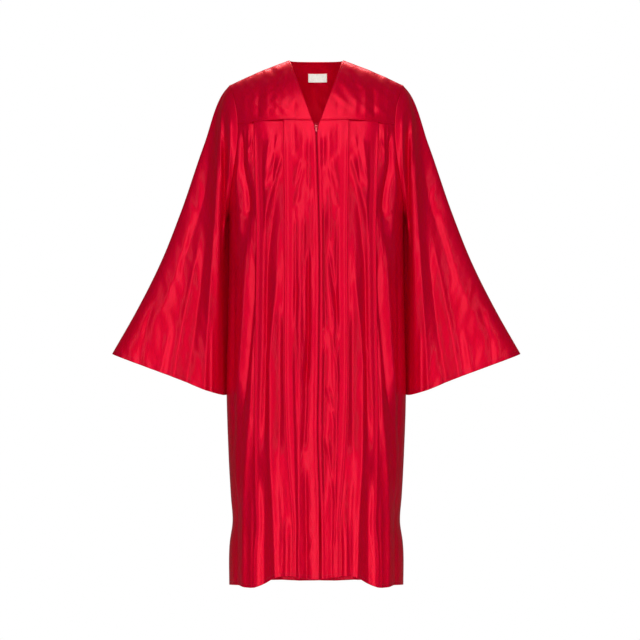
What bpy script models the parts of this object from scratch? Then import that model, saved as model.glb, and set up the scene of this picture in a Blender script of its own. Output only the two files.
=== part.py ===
"""A long zip-front graduation gown of shiny red cloth, filled out as if worn, with nobody in it.

The gown is cut as a maker cuts it: two front yokes with a V neck, one back yoke, two fronts that
meet at a zip, one back, and two wide bell sleeves. Each piece is a thin wall of cloth. The body
hangs as a tube whose rings are worked out from a table of widths and depths, and the pressed
pleats of the fronts are folded in it. Sizes are in millimetres, and MM turns them into metres.
The origin is in the middle between the shoulder seams, +Z is up and the front faces -Y.
"""

import math

import bpy
import numpy as np
from mathutils import Matrix, Vector

MM = 0.001

# Cloth
WALL = 1.2
SEAM_GAP = 0.6
SIDE_SEAM_SHIFT = 0.2
SLEEVE_SEAM_GAP = 1.6
TAPE_GAP = 0.45
TAPE_WALL = 1.0

# Rings of the body, from the chest down: half of the width, and the depth before and behind
# Columns: height, half width, front depth, back depth
HALF_WIDTH, FRONT_DEPTH, BACK_DEPTH = 1, 2, 3
SECTIONS = (
    (-100, 229, 105, 97),
    (-134, 226, 112, 105),
    (-200, 221, 127, 118),
    (-280, 217, 138, 122),
    (-352, 214, 142, 124),
    (-450, 214, 144, 127),
    (-600, 217, 147, 132),
    (-800, 220, 152, 141),
    (-945, 215, 157, 149),
    (-1040, 210, 160, 155),
    (-1108, 206, 163, 159),
    (-1150, 212, 164, 162),
    (-1275, 214, 168, 168),
)
ROUNDNESS = 2.3
GIRTH = 295.0  # a quarter of the way round, from the centre line to the side seam

# Neck and shoulders
NECK_HALF_WIDTH = 66.0
NECK_HEIGHT = 29.4
BACK_NECK_DEPTH = 52.0
BACK_NECK_RISE = 2.6
BACK_NECK_SQUARENESS = 0.9  # under 1 the neckline is squarer than an ellipse
SHOULDER_CROWN = 2.5
V_HALF_WIDTH = 9.6
V_PROFILE = ((0.0, 29.4), (38.0, 29.0), (98.0, -40.0), (111.0, -127.3))  # forward, height
NECK_SHARE = 0.36  # of the back yoke's half width, taken by the neckline

# Armhole: a ring from the underarm (share 0) to the shoulder tip (share 1), and back behind
ARMHOLE_MIDDLE = -192.5
ARMHOLE_HALF_HEIGHT = 159.5
ARMHOLE_DEPTH = 72.0
SHOULDER_TIP = 214.0
ARMHOLE_PULL = 20.6
ARMHOLE_LEAN = 0.8
BODY_SHARES = (0.62, 0.52, 0.42, 0.31, 0.20, 0.10, 0.0)
YOKE_SHARES = (1.0, 0.93, 0.86, 0.78, 0.70, 0.62)

# Seams and hems, by the way round from the centre line
# Columns: way round, height
SEAM_HEIGHT = 1
FRONT_SEAM = ((0, -127.3), (25, -127.3), (77, -125.6), (150, -129.8), (158, -132.6), (200, -133.8))
BACK_SEAM_HEIGHT = -150.0
FRONT_HEM = ((0, -1226), (105, -1226), (128, -1238), (150, -1248), (215, -1250), (295, -1259))
BACK_HEM_HEIGHT = -1271.0
SIDE_HEM_HEIGHT = -1259.0
HEM_ROWS = 11

# Centre front: where the two fronts meet, and how far apart they are there
# Columns: height, the way round to the meeting line, half of the gap
MEETING_LINE, HALF_GAP = 1, 2
CENTRE = (
    (-120, 0.0, 9.9),
    (-129, 0.0, 8.8),
    (-138, 0.0, 4.8),
    (-152, 0.0, 4.5),
    (-176, 0.5, 0.9),
    (-450, 8.0, 0.6),
    (-700, 6.0, 0.6),
    (-900, 4.0, 0.6),
    (-1040, 9.0, 0.9),
    (-1100, 10.0, 2.2),
    (-1275, 10.0, 2.4),
)

# Pressed pleats of each front: the fold's way round, and the cloth tucked under it
# Columns: height, the inner pleat's fold, the outer pleat's fold
PLEATS = (
    (-120, 76.5, 150),
    (-440, 76.0, 150),
    (-800, 73.4, 151),
    (-920, 70.0, 153),
    (-1090, 60.0, 157),
    (-1275, 57.0, 158),
)
INNER_PLEAT, OUTER_PLEAT = 1, 2
TUCK_AT_TOP = 16.0
TUCK_AT_HEM = 5.0
TUCK_PITCH = 2.6
TUCK_ROUND = 1.3
TUCK_LAYERS = (0.4, 0.9, 1.3, 1.7, 2.1)  # how far down its five turns lie, in pitches
LAST_TURN = len(TUCK_LAYERS) - 1
PANEL_RISES = (0.20, 0.90)  # from under the pleat the next cloth rises over these places
SIDE_RISES = (0.12, 0.55)
TUCK_NARROWS = {INNER_PLEAT: (-930, -1160), OUTER_PLEAT: (-720, -1100)}  # over these heights
TUCK_CALM = (26.0, 11.0, 6.0, 16.0)  # no folds near a tuck: before it begins, and past its fold

# Columns of each front: their places between the zip and the pleat, the pleats, and the side
CENTRE_PLACES = (0, 0.12, 0.20, 0.26, 0.33, 0.44, 0.58, 0.72, 0.87, 1)
PANEL_PLACES = (0.19, 0.32, 0.46, 0.60, 0.74, 0.88, 1)
SIDE_PLACES = (0.11, 0.20, 0.31, 0.42, 0.53, 0.64, 0.75, 0.86, 0.94, 1)
BACK_COLUMNS = 45
YOKE_WAYS = (25, 50, 77, 113, 150, 158, 178)  # way round to the columns of a front yoke

# Folds of the body
# Columns: top height, bottom height, way round at the top, middle and bottom, half width, lift
FRONT_FOLDS = (
    (-150, -330, 92, 112, 134, 11, 3.5),
    (-210, -450, 82, 112, 134, 11, 5.0),
    (-270, -960, 92, 124, 129, 14, -8.0),
    (-430, -1400, 92, 112, 95, 11, 9.0),
    (-560, -980, 91, 91, 90, 10, -5.0),
    (-1090, -1400, 74, 72, 70, 10, 7.0),
    (-960, -1400, 130, 128, 127, 15, -9.0),
    (-135, -250, 168, 171, 174, 9, 5.0),
    (-140, -260, 190, 193, 190, 10, -8.0),
    (-235, -380, 178, 176, 178, 10, -8.0),
    (-225, -430, 197, 199, 196, 10, 6.0),
    (-370, -860, 174, 184, 202, 15, 9.0),
    (-440, -930, 156, 168, 196, 11, -8.0),
    (-560, -1400, 151, 160, 178, 15, 10.0),
    (-1000, -1400, 212, 216, 218, 13, -8.0),
    (-420, -1400, 232, 238, 246, 15, 8.0),
    (-500, -1400, 262, 264, 270, 13, -7.0),
)
RIGHT_FRONT_FOLDS = (
    (-430, -700, 18, 18, 20, 4.5, -13.0),
    (-660, -930, 22, 26, 31, 6, -5.0),
    (-500, -700, 46, 54, 62, 9, -6.0),
    (-300, -1400, 38, 42, 44, 11, 4.0),
)
LEFT_FRONT_FOLDS = (
    (-430, -670, 28, 44, 62, 9, -7.0),
    (-640, -1100, 30, 46, 58, 12, 5.0),
    (-980, -1400, 34, 32, 30, 12, -4.0),
)
BACK_FOLDS = (
    (-160, -1400, 0, 3, 5, 17, 9.0),
    (-175, -1400, 42, 46, 50, 15, -9.0),
    (-160, -1400, 82, 88, 96, 17, 11.0),
    (-190, -1400, 118, 128, 138, 15, -10.0),
    (-170, -1400, 150, 164, 180, 16, 11.0),
    (-230, -1400, 186, 200, 216, 14, -9.0),
    (-330, -1400, 224, 236, 248, 14, 9.0),
    (-160, -1400, -38, -41, -45, 15, -8.0),
    (-170, -1400, -76, -84, -88, 17, 12.0),
    (-180, -1400, -114, -124, -131, 15, -9.0),
    (-165, -1400, -150, -160, -172, 16, 10.0),
    (-240, -1400, -184, -198, -212, 14, -10.0),
    (-320, -1400, -222, -232, -245, 14, 9.0),
)
SEAM_CALM = 45.0  # below a seam the folds grow over this height
SIDE_CALM = 26.0  # and they end this far from the side seam and the armhole
ZIP_CALM = 13.0  # the cloth beside the zip stays smooth
ZIP_CALM_ENDS = 20.0
BACK_FOLDS_AT_TOP = 0.45  # share of their lift that the back's folds have under the yoke

# Sleeve: the way of its outer edge and its inner seam, and its hem
# Columns: share of the way down, outer edge's x, outer edge's height
OUTER_X, OUTER_HEIGHT = 1, 2
SLEEVE_EDGE = (
    (0.0, 214.0, -33.0),
    (0.03, 226.0, -47.0),
    (0.22, 276.0, -178.0),
    (0.48, 335.0, -349.0),
    (0.66, 382.0, -467.0),
    (0.84, 441.0, -585.0),
    (1.0, 501.6, -691.5),
)
SLEEVE_INNER_HEM = (223.5, -793.0)
SLEEVE_DEPTH = 52.0
SLEEVE_HEM_ROUNDNESS = 3.0
SLEEVE_EDGE_REACH = (0.35, 1.0)  # places that follow the outer edge's curve
HANG_POWER = 1.9  # spreads the armhole's shares over the cloth
FAN_POWER = 2.3  # and the hem's: the cloth fans out from the shoulder
CAP_BULGE = 20.0
UNDERARM_BULGE = 9.0
CAP_RISE = 0.03  # share of the sleeve's length over which the cloth leaves the seam
CAP_FADE = 1.3
CAP_GROWS = (0.0, 0.42)
CAP_ENDS = (0.50, 0.95)
INNER_SPREAD = 12.0  # moves the edges of the sleeve's inner side away from the body
SPREAD_GROWS = (0.05, 0.35)
SPREAD_ENDS = (0.75, 0.40)
SLEEVE_ROWS = 16
SLEEVE_ROW_POWER = 1.5
SLEEVE_FACE_COLUMNS = (
    0, 0.08, 0.16, 0.23, 0.28, 0.32, 0.36, 0.395, 0.43, 0.465, 0.50, 0.54, 0.58,
    0.62, 0.66, 0.70, 0.745, 0.79, 0.84, 0.89, 0.945, 1.0,
)

# Sleeve folds, seen from the front
# Columns: x and height of the top, x and height of the bottom, half width, lift
SLEEVE_FRONT_FOLDS = (
    (236, -60, 286, -1000, 11, 7.0),
    (223, -80, 225, -420, 8, -14.0),
    (209, -90, 211, -370, 8, 4.0),
    (266, -400, 346, -1000, 15, -10.0),
    (276, -380, 381, -1000, 10, 6.0),
    (261, -218, 331, -512, 13, -5.0),
)
SLEEVE_BACK_FOLDS = (
    (234, -90, 262, -1000, 14, -9.0),
    (256, -110, 312, -1000, 14, 9.0),
    (274, -240, 372, -1000, 14, -10.0),
    (306, -330, 424, -1000, 13, 8.0),
    (350, -460, 490, -1000, 12, -6.0),
)
FRONT_FOLDS_FROM = (0.22, 0.40)  # the folds start outside these places of the cloth
BACK_FOLDS_FROM = (0.38, 0.54)
SLEEVE_SEAM_CALM = 0.05
SLEEVE_EDGE_CALM = 0.93
FOLD_END = 0.16  # share of a fold's length over which it fades in and out

# Label inside the back neck
LABEL_CENTRE_X = 3.1
LABEL_WIDTH = 46.0
LABEL_TOP = 4.0
LABEL_HEIGHT = 20.0
LABEL_WALL = 1.0
LABEL_GAP = 0.4
LABEL_NUDGE = 0.004

# Zip
TAPE_HALF_WIDTH = 12.0
TAPE_TOP = -134.0
TAPE_BOTTOM = -1047.0
TAPE_ROWS = 22
SLIDER_HEIGHT_AT = -145.0
SLIDER_WIDTH = 7.5
SLIDER_LENGTH = 9.0
SLIDER_THICKNESS = 2.2
LUG_GAP = 3.0
LUG_THICKNESS = 0.9
LUG_LENGTH = 2.6
PIN_RADIUS = 0.5
PULL_EYE_RADIUS = 0.8
PULL_BARREL_RADIUS = 1.25
PULL_BARREL_LENGTH = 2.4
PULL_WIDTH = 4.2
PULL_LENGTH = 12.0
PULL_THICKNESS = 0.9
ROUND_SIDES = 16
SLIDER_BACK = -0.6  # from the cloth's middle, outward
SINK = 0.4  # how far a joined piece reaches into its neighbour
RUNNING_GAP = 0.35  # between the tab's barrel and the slider
LUG_WALL = 0.9  # round the pin
NOTCH_LENGTH = 3.4  # the tab is narrow beside the lugs
NOTCH_DEPTH = 3.0
SLIDER_ROUNDING = 0.5
TAB_ROUNDING = 0.3
TAB_INSET = 0.1

# Colours
RED = (0.62, 0.0, 0.025, 1.0)
RED_METAL = (0.50, 0.01, 0.03, 1.0)
WHITE = (0.86, 0.84, 0.80, 1.0)


def clear_scene():
    for item in list(bpy.data.objects):
        bpy.data.objects.remove(item, do_unlink=True)


def new_collection(name):
    collection = bpy.data.collections.new(name)
    bpy.context.scene.collection.children.link(collection)
    return collection


def new_material(name, color, roughness, metallic=0.0):
    material = bpy.data.materials.new(name)
    material.use_nodes = True
    shader = material.node_tree.nodes["Principled BSDF"]
    shader.inputs["Base Color"].default_value = color
    shader.inputs["Roughness"].default_value = roughness
    shader.inputs["Metallic"].default_value = metallic
    material.diffuse_color = color
    return material


def ease(start, end, value):
    """0 before start, 1 after end, and a soft step between."""
    share = np.clip((value - start) / (end - start), 0.0, 1.0)
    return share * share * (3.0 - 2.0 * share)


def read_table(rows, column, at):
    """A smooth curve through one column of a table, read at the value of its first column."""
    table = np.array(rows, float)
    if table[0, 0] > table[-1, 0]:
        table = table[::-1]
    place, value = table[:, 0], table[:, column]
    slope = np.gradient(value, place)
    at = np.clip(np.asarray(at, float), place[0], place[-1])
    row = np.clip(np.searchsorted(place, at) - 1, 0, len(place) - 2)
    step = place[row + 1] - place[row]
    t = (at - place[row]) / step
    start = (1 + 2 * t) * (1 - t) ** 2 * value[row] + t * (1 - t) ** 2 * step * slope[row]
    end = t * t * (3 - 2 * t) * value[row + 1] + t * t * (t - 1) * step * slope[row + 1]
    return start + end


def read_straight(rows, column, at):
    """Straight lines through one column of a table, read at the value of its first column."""
    table = np.array(rows, float)
    if table[0, 0] > table[-1, 0]:
        table = table[::-1]
    return np.interp(at, table[:, 0], table[:, column])


def ring_shape():
    """A typical ring's angles, and the way round to each of them."""
    angle = np.linspace(0.0, math.pi / 2, 1801)
    typical = SECTIONS[len(SECTIONS) // 2 - 1]
    half_width, depth = typical[HALF_WIDTH], typical[FRONT_DEPTH]
    across = half_width * np.sin(angle) ** (2 / ROUNDNESS)
    forward = depth * np.cos(angle) ** (2 / ROUNDNESS)
    steps = np.hypot(np.diff(across), np.diff(forward))
    way = np.concatenate([[0.0], np.cumsum(steps)])
    return angle, way / way[-1] * GIRTH


RING_ANGLE, RING_WAY = ring_shape()


def tube(face, girth, height):
    """Points and outward directions of the smooth body. face is -1 before and +1 behind."""
    half_width = read_table(SECTIONS, HALF_WIDTH, height)
    depth = read_table(SECTIONS, FRONT_DEPTH if face < 0 else BACK_DEPTH, height)
    side = np.where(girth < 0, -1.0, 1.0)
    angle = np.interp(np.abs(girth), RING_WAY, RING_ANGLE)
    across = np.sin(angle) ** (2 / ROUNDNESS)
    along = np.cos(angle) ** (2 / ROUNDNESS)
    points = np.stack([side * half_width * across, face * depth * along, height + 0 * girth], -1)
    out_x = side * across ** (ROUNDNESS - 1) / half_width
    out_y = face * along ** (ROUNDNESS - 1) / depth
    length = np.hypot(out_x, out_y)
    outward = np.stack([out_x / length, out_y / length, 0 * out_x], -1)
    return points, outward


def armhole(share, face):
    """A point of the left armhole's ring."""
    angle = math.pi * (1 - np.asarray(share, float))
    pull = ARMHOLE_PULL * np.sin(angle) ** 2 * (1 + ARMHOLE_LEAN * np.cos(angle))
    height = ARMHOLE_MIDDLE + ARMHOLE_HALF_HEIGHT * np.cos(angle)
    return np.stack([SHOULDER_TIP - pull, face * ARMHOLE_DEPTH * np.sin(angle), height], -1)


def body_edge(face, height):
    """The way round to the body's edge, which is the armhole or the side seam, and its shift."""
    turn = np.clip((height - ARMHOLE_MIDDLE) / ARMHOLE_HALF_HEIGHT, -1.0, 1.0)
    hole = armhole(1 - np.arccos(turn) / math.pi, face)
    half_width = read_table(SECTIONS, HALF_WIDTH, height)
    depth = read_table(SECTIONS, FRONT_DEPTH if face < 0 else BACK_DEPTH, height)
    cosine = np.clip(np.abs(hole[..., 1]) / depth, 0.0, 1.0) ** (ROUNDNESS / 2)
    angle = np.arccos(cosine)
    shift = hole[..., 0] - half_width * np.sin(angle) ** (2 / ROUNDNESS)
    way = np.interp(angle, RING_ANGLE, RING_WAY)
    above = height > ARMHOLE_MIDDLE - ARMHOLE_HALF_HEIGHT + 0.01
    return np.where(above, way, GIRTH), np.where(above, shift, 0.0)


def fold_lift(folds, girth, height):
    """How far the folds of a table lift the cloth off the smooth body."""
    lift = np.zeros(np.broadcast(girth, height).shape)
    for top, bottom, at_top, at_middle, at_bottom, half_width, rise in folds:
        down = (top - height) / (top - bottom)
        near = np.clip(down, 0.0, 1.0)
        path = at_top * (1 - near) * (1 - 2 * near)
        path = path + at_middle * 4 * near * (1 - near) + at_bottom * near * (2 * near - 1)
        shown = ease(0.0, FOLD_END, down) * ease(1.0, 1 - FOLD_END, down)
        lift = lift + rise * shown * np.exp(-(((girth - path) / half_width) ** 2))
    return lift


def body_point(face, girth, height, lift, top):
    """A point of the body's cloth, with its folds calmed at the seam above and at its edge."""
    edge, shift = body_edge(face, height)
    points, outward = tube(face, girth, height)
    near_edge = np.clip(np.abs(girth) / edge, 0.0, 1.0)
    points[..., 0] += np.sign(girth) * shift * near_edge**3
    calm = ease(0.0, SEAM_CALM, top - height) * ease(0.0, SIDE_CALM, edge - np.abs(girth))
    return points + outward * (lift * calm)[..., None]


def front_seam_height(girth):
    return read_straight(FRONT_SEAM, SEAM_HEIGHT, girth)


def back_seam_height(girth):
    corner = armhole(BODY_SHARES[0], 1)[2]
    edge = body_edge(1, np.array(corner))[0]
    return BACK_SEAM_HEIGHT + (corner - BACK_SEAM_HEIGHT) * (np.abs(girth) / edge) ** 2


def hem_height(face, girth):
    if face < 0:
        return read_table(FRONT_HEM, SEAM_HEIGHT, girth)
    share = ease(0.0, GIRTH, np.abs(girth))
    return BACK_HEM_HEIGHT + (SIDE_HEM_HEIGHT - BACK_HEM_HEIGHT) * share


def edge_heights():
    """Heights of the body's rows at its edge: down the armhole, then down the side seam."""
    down_hole = [float(armhole(share, -1)[2]) for share in BODY_SHARES]
    below = np.linspace(down_hole[-1], SIDE_HEM_HEIGHT, HEM_ROWS + 1)[1:]
    return np.array(down_hole + list(below))


def row_shares():
    heights = edge_heights()
    return (heights[0] - heights) / (heights[0] - heights[-1])


def front_stations():
    """The columns of a front from the zip to its edge: the part that each is in, and its place."""
    centre = [("centre", f) for f in CENTRE_PLACES]
    tucks = [("inner_tuck", n) for n in range(len(TUCK_LAYERS))]
    panel = [("panel", f) for f in PANEL_PLACES]
    tucks_out = [("outer_tuck", n) for n in range(len(TUCK_LAYERS))]
    side = [("side", f) for f in SIDE_PLACES]
    return centre + tucks + panel + tucks_out + side


def tuck_width(pleat, height):
    """How wide the cloth under a pleat is."""
    return TUCK_AT_TOP + (TUCK_AT_HEM - TUCK_AT_TOP) * ease(*TUCK_NARROWS[pleat], height)


def tuck_station(number, fold, tuck):
    """One of the five turns of the cloth that is tucked under a pleat: way round and lift."""
    ways = (fold, fold - TUCK_ROUND, fold - tuck + TUCK_ROUND, fold - tuck,
            fold - tuck + TUCK_ROUND)
    return ways[number], -TUCK_PITCH * TUCK_LAYERS[number]


def front_columns(side, height):
    """For one height, the way round and the lift under the pleats at each station of a front."""
    line = read_table(CENTRE, MEETING_LINE, height) * side
    half_gap = read_straight(CENTRE, HALF_GAP, height)
    folds, tucks = {}, {}
    for pleat in (INNER_PLEAT, OUTER_PLEAT):
        folds[pleat] = read_table(PLEATS, pleat, height)
        tucks[pleat] = tuck_width(pleat, height)
    edge = body_edge(-1, height)[0]
    ways, lifts = [], []
    for part, place in front_stations():
        if part == "centre":
            start = line + half_gap
            ways.append(start + (folds[INNER_PLEAT] - TUCK_ROUND - start) * place)
            lifts.append(0.0)
        elif part in ("inner_tuck", "outer_tuck"):
            which = INNER_PLEAT if part == "inner_tuck" else OUTER_PLEAT
            way, lift = tuck_station(place, folds[which], tucks[which])
            ways.append(way)
            lifts.append(lift)
        elif part == "panel":
            start, under = tuck_station(LAST_TURN, folds[INNER_PLEAT], tucks[INNER_PLEAT])
            ways.append(start + (folds[OUTER_PLEAT] - TUCK_ROUND - start) * place)
            lifts.append(under * (1 - ease(*PANEL_RISES, place)))
        else:
            start, under = tuck_station(LAST_TURN, folds[OUTER_PLEAT], tucks[OUTER_PLEAT])
            ways.append(start + (edge - start) * place)
            lifts.append(under * (1 - ease(*SIDE_RISES, place)))
    return np.array(ways), np.array(lifts)


def pleat_calm(way, height):
    """0 where the cloth lies folded under a pleat, so that its layers stay apart, and 1 elsewhere."""
    calm = 1.0
    for pleat in (INNER_PLEAT, OUTER_PLEAT):
        fold = read_table(PLEATS, pleat, height)
        start = fold - tuck_width(pleat, height)
        under = ease(start - TUCK_CALM[0], start - TUCK_CALM[1], way)
        calm = calm * (1 - under * ease(fold + TUCK_CALM[3], fold + TUCK_CALM[2], way))
    return calm


def front_grid(side):
    """Rows of points of one front. side is +1 for the wearer's left."""
    shares = row_shares()
    top_ways, _ = front_columns(side, np.array(FRONT_SEAM[1][1], float))
    hem_ways, _ = front_columns(side, np.array(SIDE_HEM_HEIGHT, float))
    tops = front_seam_height(top_ways) - SEAM_GAP
    hems = hem_height(-1, hem_ways)
    own_folds = LEFT_FRONT_FOLDS if side > 0 else RIGHT_FRONT_FOLDS
    grid = []
    for share in shares:
        row = []
        for column in range(len(tops)):
            height = tops[column] + (hems[column] - tops[column]) * share
            ways, lifts = front_columns(side, np.array(height))
            way = ways[column]
            lift = fold_lift(FRONT_FOLDS + own_folds, way, height)
            from_zip = way - side * read_table(CENTRE, MEETING_LINE, height)
            lift = lift * ease(ZIP_CALM, ZIP_CALM_ENDS, from_zip) * pleat_calm(way, height)
            point = body_point(-1, np.array(way), np.array(height), lift, tops[column])
            _, outward = tube(-1, np.array(way), np.array(height))
            point = point + outward * lifts[column]
            row.append(point * (side, 1, 1))
        grid.append(row)
    grid = np.array(grid)
    grid[:, -1, 1] -= SIDE_SEAM_SHIFT
    return grid


def back_grid():
    corner_girth = body_edge(1, edge_heights()[0])[0]
    places = np.linspace(-1, 1, BACK_COLUMNS)
    grid = []
    for share in row_shares():
        row = []
        for place in places:
            top = back_seam_height(place * corner_girth) - SEAM_GAP
            hem = hem_height(1, place * GIRTH)
            height = top + (hem - top) * share
            edge = body_edge(1, height)[0]
            way = np.array(place * edge)
            lift = fold_lift(BACK_FOLDS, way, height)
            lift = lift * (BACK_FOLDS_AT_TOP + (1 - BACK_FOLDS_AT_TOP) * share)
            row.append(body_point(1, way, np.array(height), lift, top))
        grid.append(row)
    grid = np.array(grid)
    grid[:, (0, -1), 1] += SIDE_SEAM_SHIFT
    return grid


def bezier(points, share):
    points = np.array(points, float)
    share = np.asarray(share, float)[..., None]
    rest = 1 - share
    ends = rest**3 * points[0] + share**3 * points[3]
    return ends + 3 * rest**2 * share * points[1] + 3 * rest * share**2 * points[2]


def shoulder_seam(share):
    """From the neck point to the left shoulder tip."""
    share = np.asarray(share, float)
    tip = armhole(1.0, -1)
    across = NECK_HALF_WIDTH + (tip[0] - NECK_HALF_WIDTH) * share
    height = NECK_HEIGHT + (tip[2] - NECK_HEIGHT) * share + SHOULDER_CROWN * np.sin(math.pi * share)
    return np.stack([across, 0 * share, height], -1)


def v_edge(share):
    """From the neck point down to the bottom of the V."""
    profile = bezier(V_PROFILE, share)
    height = profile[..., 1]
    drop = (NECK_HEIGHT - height) / (NECK_HEIGHT - V_PROFILE[-1][1])
    across = NECK_HALF_WIDTH + (V_HALF_WIDTH - NECK_HALF_WIDTH) * drop
    return np.stack([across, -profile[..., 0], height], -1)


def front_yoke_foot(share):
    """The yoke's lower edge, from the V to the armhole."""
    corner = body_edge(-1, edge_heights()[0])[0]
    way = V_HALF_WIDTH + (corner - V_HALF_WIDTH) * np.asarray(share, float)
    height = front_seam_height(way)
    return body_point(-1, way, height, 0 * way, height)


def back_yoke_foot(share):
    corner = body_edge(1, edge_heights()[0])[0]
    way = corner * np.asarray(share, float)
    height = back_seam_height(way)
    return body_point(1, way, height, 0 * way, height)


def back_neck_and_shoulders(share):
    """The back yoke's upper edge, from the right shoulder tip over the neck to the left one."""
    share = np.asarray(share, float)
    turn = np.clip(share / NECK_SHARE, -1, 1) * math.pi / 2
    rise = BACK_NECK_RISE * np.cos(turn) ** 2
    neck = np.stack([NECK_HALF_WIDTH * np.sin(turn), BACK_NECK_DEPTH * np.cos(turn) ** BACK_NECK_SQUARENESS,
                     NECK_HEIGHT + rise], -1)
    seam = shoulder_seam(np.clip((np.abs(share) - NECK_SHARE) / (1 - NECK_SHARE), 0, 1))
    seam = seam * np.stack([np.sign(share), 1 + 0 * share, 1 + 0 * share], -1)
    return np.where((np.abs(share) <= NECK_SHARE)[..., None], neck, seam)


def patch(top, foot, left, right, across, down):
    """A smooth sheet between four edges. across and down are arrays of shares."""
    u, v = across[None, :, None], down[:, None, None]
    ruled = (1 - v) * top[None] + v * foot[None] + (1 - u) * left[:, None] + u * right[:, None]
    corners = (1 - u) * (1 - v) * top[0] + u * (1 - v) * top[-1]
    corners = corners + (1 - u) * v * foot[0] + u * v * foot[-1]
    return ruled - corners


def yoke_downs():
    """How far down the yoke each of its rows meets the armhole."""
    first, last = YOKE_SHARES[0], YOKE_SHARES[-1]
    return np.array([(first - share) / (first - last) for share in YOKE_SHARES])


def front_yoke_grid(side):
    corner = body_edge(-1, edge_heights()[0])[0]
    inner = (np.array(YOKE_WAYS) - V_HALF_WIDTH) / (corner - V_HALF_WIDTH)
    across = np.concatenate([[0], inner, [1]])
    down = yoke_downs()
    hole = armhole(np.array(YOKE_SHARES), -1)
    sheet = patch(shoulder_seam(across), front_yoke_foot(across), v_edge(down), hole, across, down)
    sheet = sheet.copy()
    sheet[0, :, 1] -= SEAM_GAP
    return sheet * (side, 1, 1)


def back_yoke_places():
    neck = np.linspace(0, NECK_SHARE, 6)
    shoulder = np.linspace(NECK_SHARE, 1, 7)[1:]
    half = np.concatenate([neck, shoulder])
    return np.concatenate([-half[:0:-1], half])


def back_yoke_sheet(places, down):
    hole = armhole(1 - (1 - YOKE_SHARES[-1]) * down, 1)
    top = back_neck_and_shoulders(places)
    foot = back_yoke_foot(places)
    across = (places + 1) / 2
    return patch(top, foot, hole * (-1, 1, 1), hole, across, down)


def back_yoke_grid():
    sheet = back_yoke_sheet(back_yoke_places(), yoke_downs())
    sheet[0, :, 1] += SEAM_GAP
    return sheet


def armhole_seam(share, face):
    """The armhole as the body's and the yoke's edges have it: straight between their rows."""
    knots = np.array(sorted(set(BODY_SHARES + YOKE_SHARES)))
    points = armhole(knots, face)
    return np.stack([np.interp(share, knots, points[:, axis]) for axis in range(3)], -1)


def sleeve_half(face, places, downs):
    """The front or the back of the left sleeve: rows down its length, columns from the underarm."""
    hole_share = 1 - (1 - places) ** HANG_POWER
    hem_share = places**FAN_POWER
    seam = armhole_seam(hole_share, face)
    inner = np.array((SLEEVE_INNER_HEM[0], 0.0, SLEEVE_INNER_HEM[1]))
    outer = np.array((SLEEVE_EDGE[-1][OUTER_X], 0.0, SLEEVE_EDGE[-1][OUTER_HEIGHT]))
    hem = inner + (outer - inner) * hem_share[:, None]
    bulge = (1 - np.abs(2 * hem_share - 1) ** SLEEVE_HEM_ROUNDNESS) ** (1 / SLEEVE_HEM_ROUNDNESS)
    hem[:, 1] += face * SLEEVE_DEPTH * bulge
    down = downs[:, None, None]
    sheet = (1 - down) * seam[None] + down * hem[None]
    straight = (1 - downs)[:, None] * seam[-1] + downs[:, None] * outer
    edge = np.stack([read_table(SLEEVE_EDGE, OUTER_X, downs), 0 * downs,
                     read_table(SLEEVE_EDGE, OUTER_HEIGHT, downs)], -1)
    reach = ease(*SLEEVE_EDGE_REACH, places)[None, :, None]
    sheet = sheet + (edge - straight)[:, None, :] * reach
    rise = (1 - np.exp(-downs / CAP_RISE)) * (1 - downs) ** CAP_FADE
    out = UNDERARM_BULGE + (CAP_BULGE - UNDERARM_BULGE) * ease(*CAP_GROWS, places)
    out = out * (1 - ease(*CAP_ENDS, places))
    sheet[..., 0] += rise[:, None] * out[None, :]
    spread = ease(*SPREAD_GROWS, downs)[:, None] * ease(*SPREAD_ENDS, places)[None, :]
    sheet[..., 0] += INNER_SPREAD * spread * np.abs(sheet[..., 1]) / SLEEVE_DEPTH
    folds = SLEEVE_FRONT_FOLDS if face < 0 else SLEEVE_BACK_FOLDS
    lift = sleeve_fold_lift(folds, sheet[..., 0], sheet[..., 2])
    starts = ease(*(FRONT_FOLDS_FROM if face < 0 else BACK_FOLDS_FROM), places)
    calm = ease(0.0, SLEEVE_SEAM_CALM, downs)[:, None] * starts[None, :]
    sheet[..., 1] += face * lift * calm * ease(1.0, SLEEVE_EDGE_CALM, places)[None, :]
    return sheet


def sleeve_fold_lift(folds, across, height):
    """How far the folds of a table lift the sleeve's cloth, by its place seen from the front."""
    lift = np.zeros(across.shape)
    for top_x, top, bottom_x, bottom, half_width, rise in folds:
        down = (top - height) / (top - bottom)
        path = top_x + (bottom_x - top_x) * down
        shown = ease(0.0, FOLD_END, down) * ease(1.0, 1 - FOLD_END, down)
        lift = lift + rise * shown * np.exp(-(((across - path) / half_width) ** 2))
    return lift


def sleeve_grid(side):
    places = np.array(SLEEVE_FACE_COLUMNS)
    downs = np.linspace(0, 1, SLEEVE_ROWS + 1) ** SLEEVE_ROW_POWER
    before = sleeve_half(-1, places, downs)
    behind = sleeve_half(1, places, downs)
    ring = np.concatenate([before, behind[:, -2:0:-1]], 1)
    ring[0, :, 0] += SLEEVE_SEAM_GAP
    return ring * (side, 1, 1)


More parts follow.
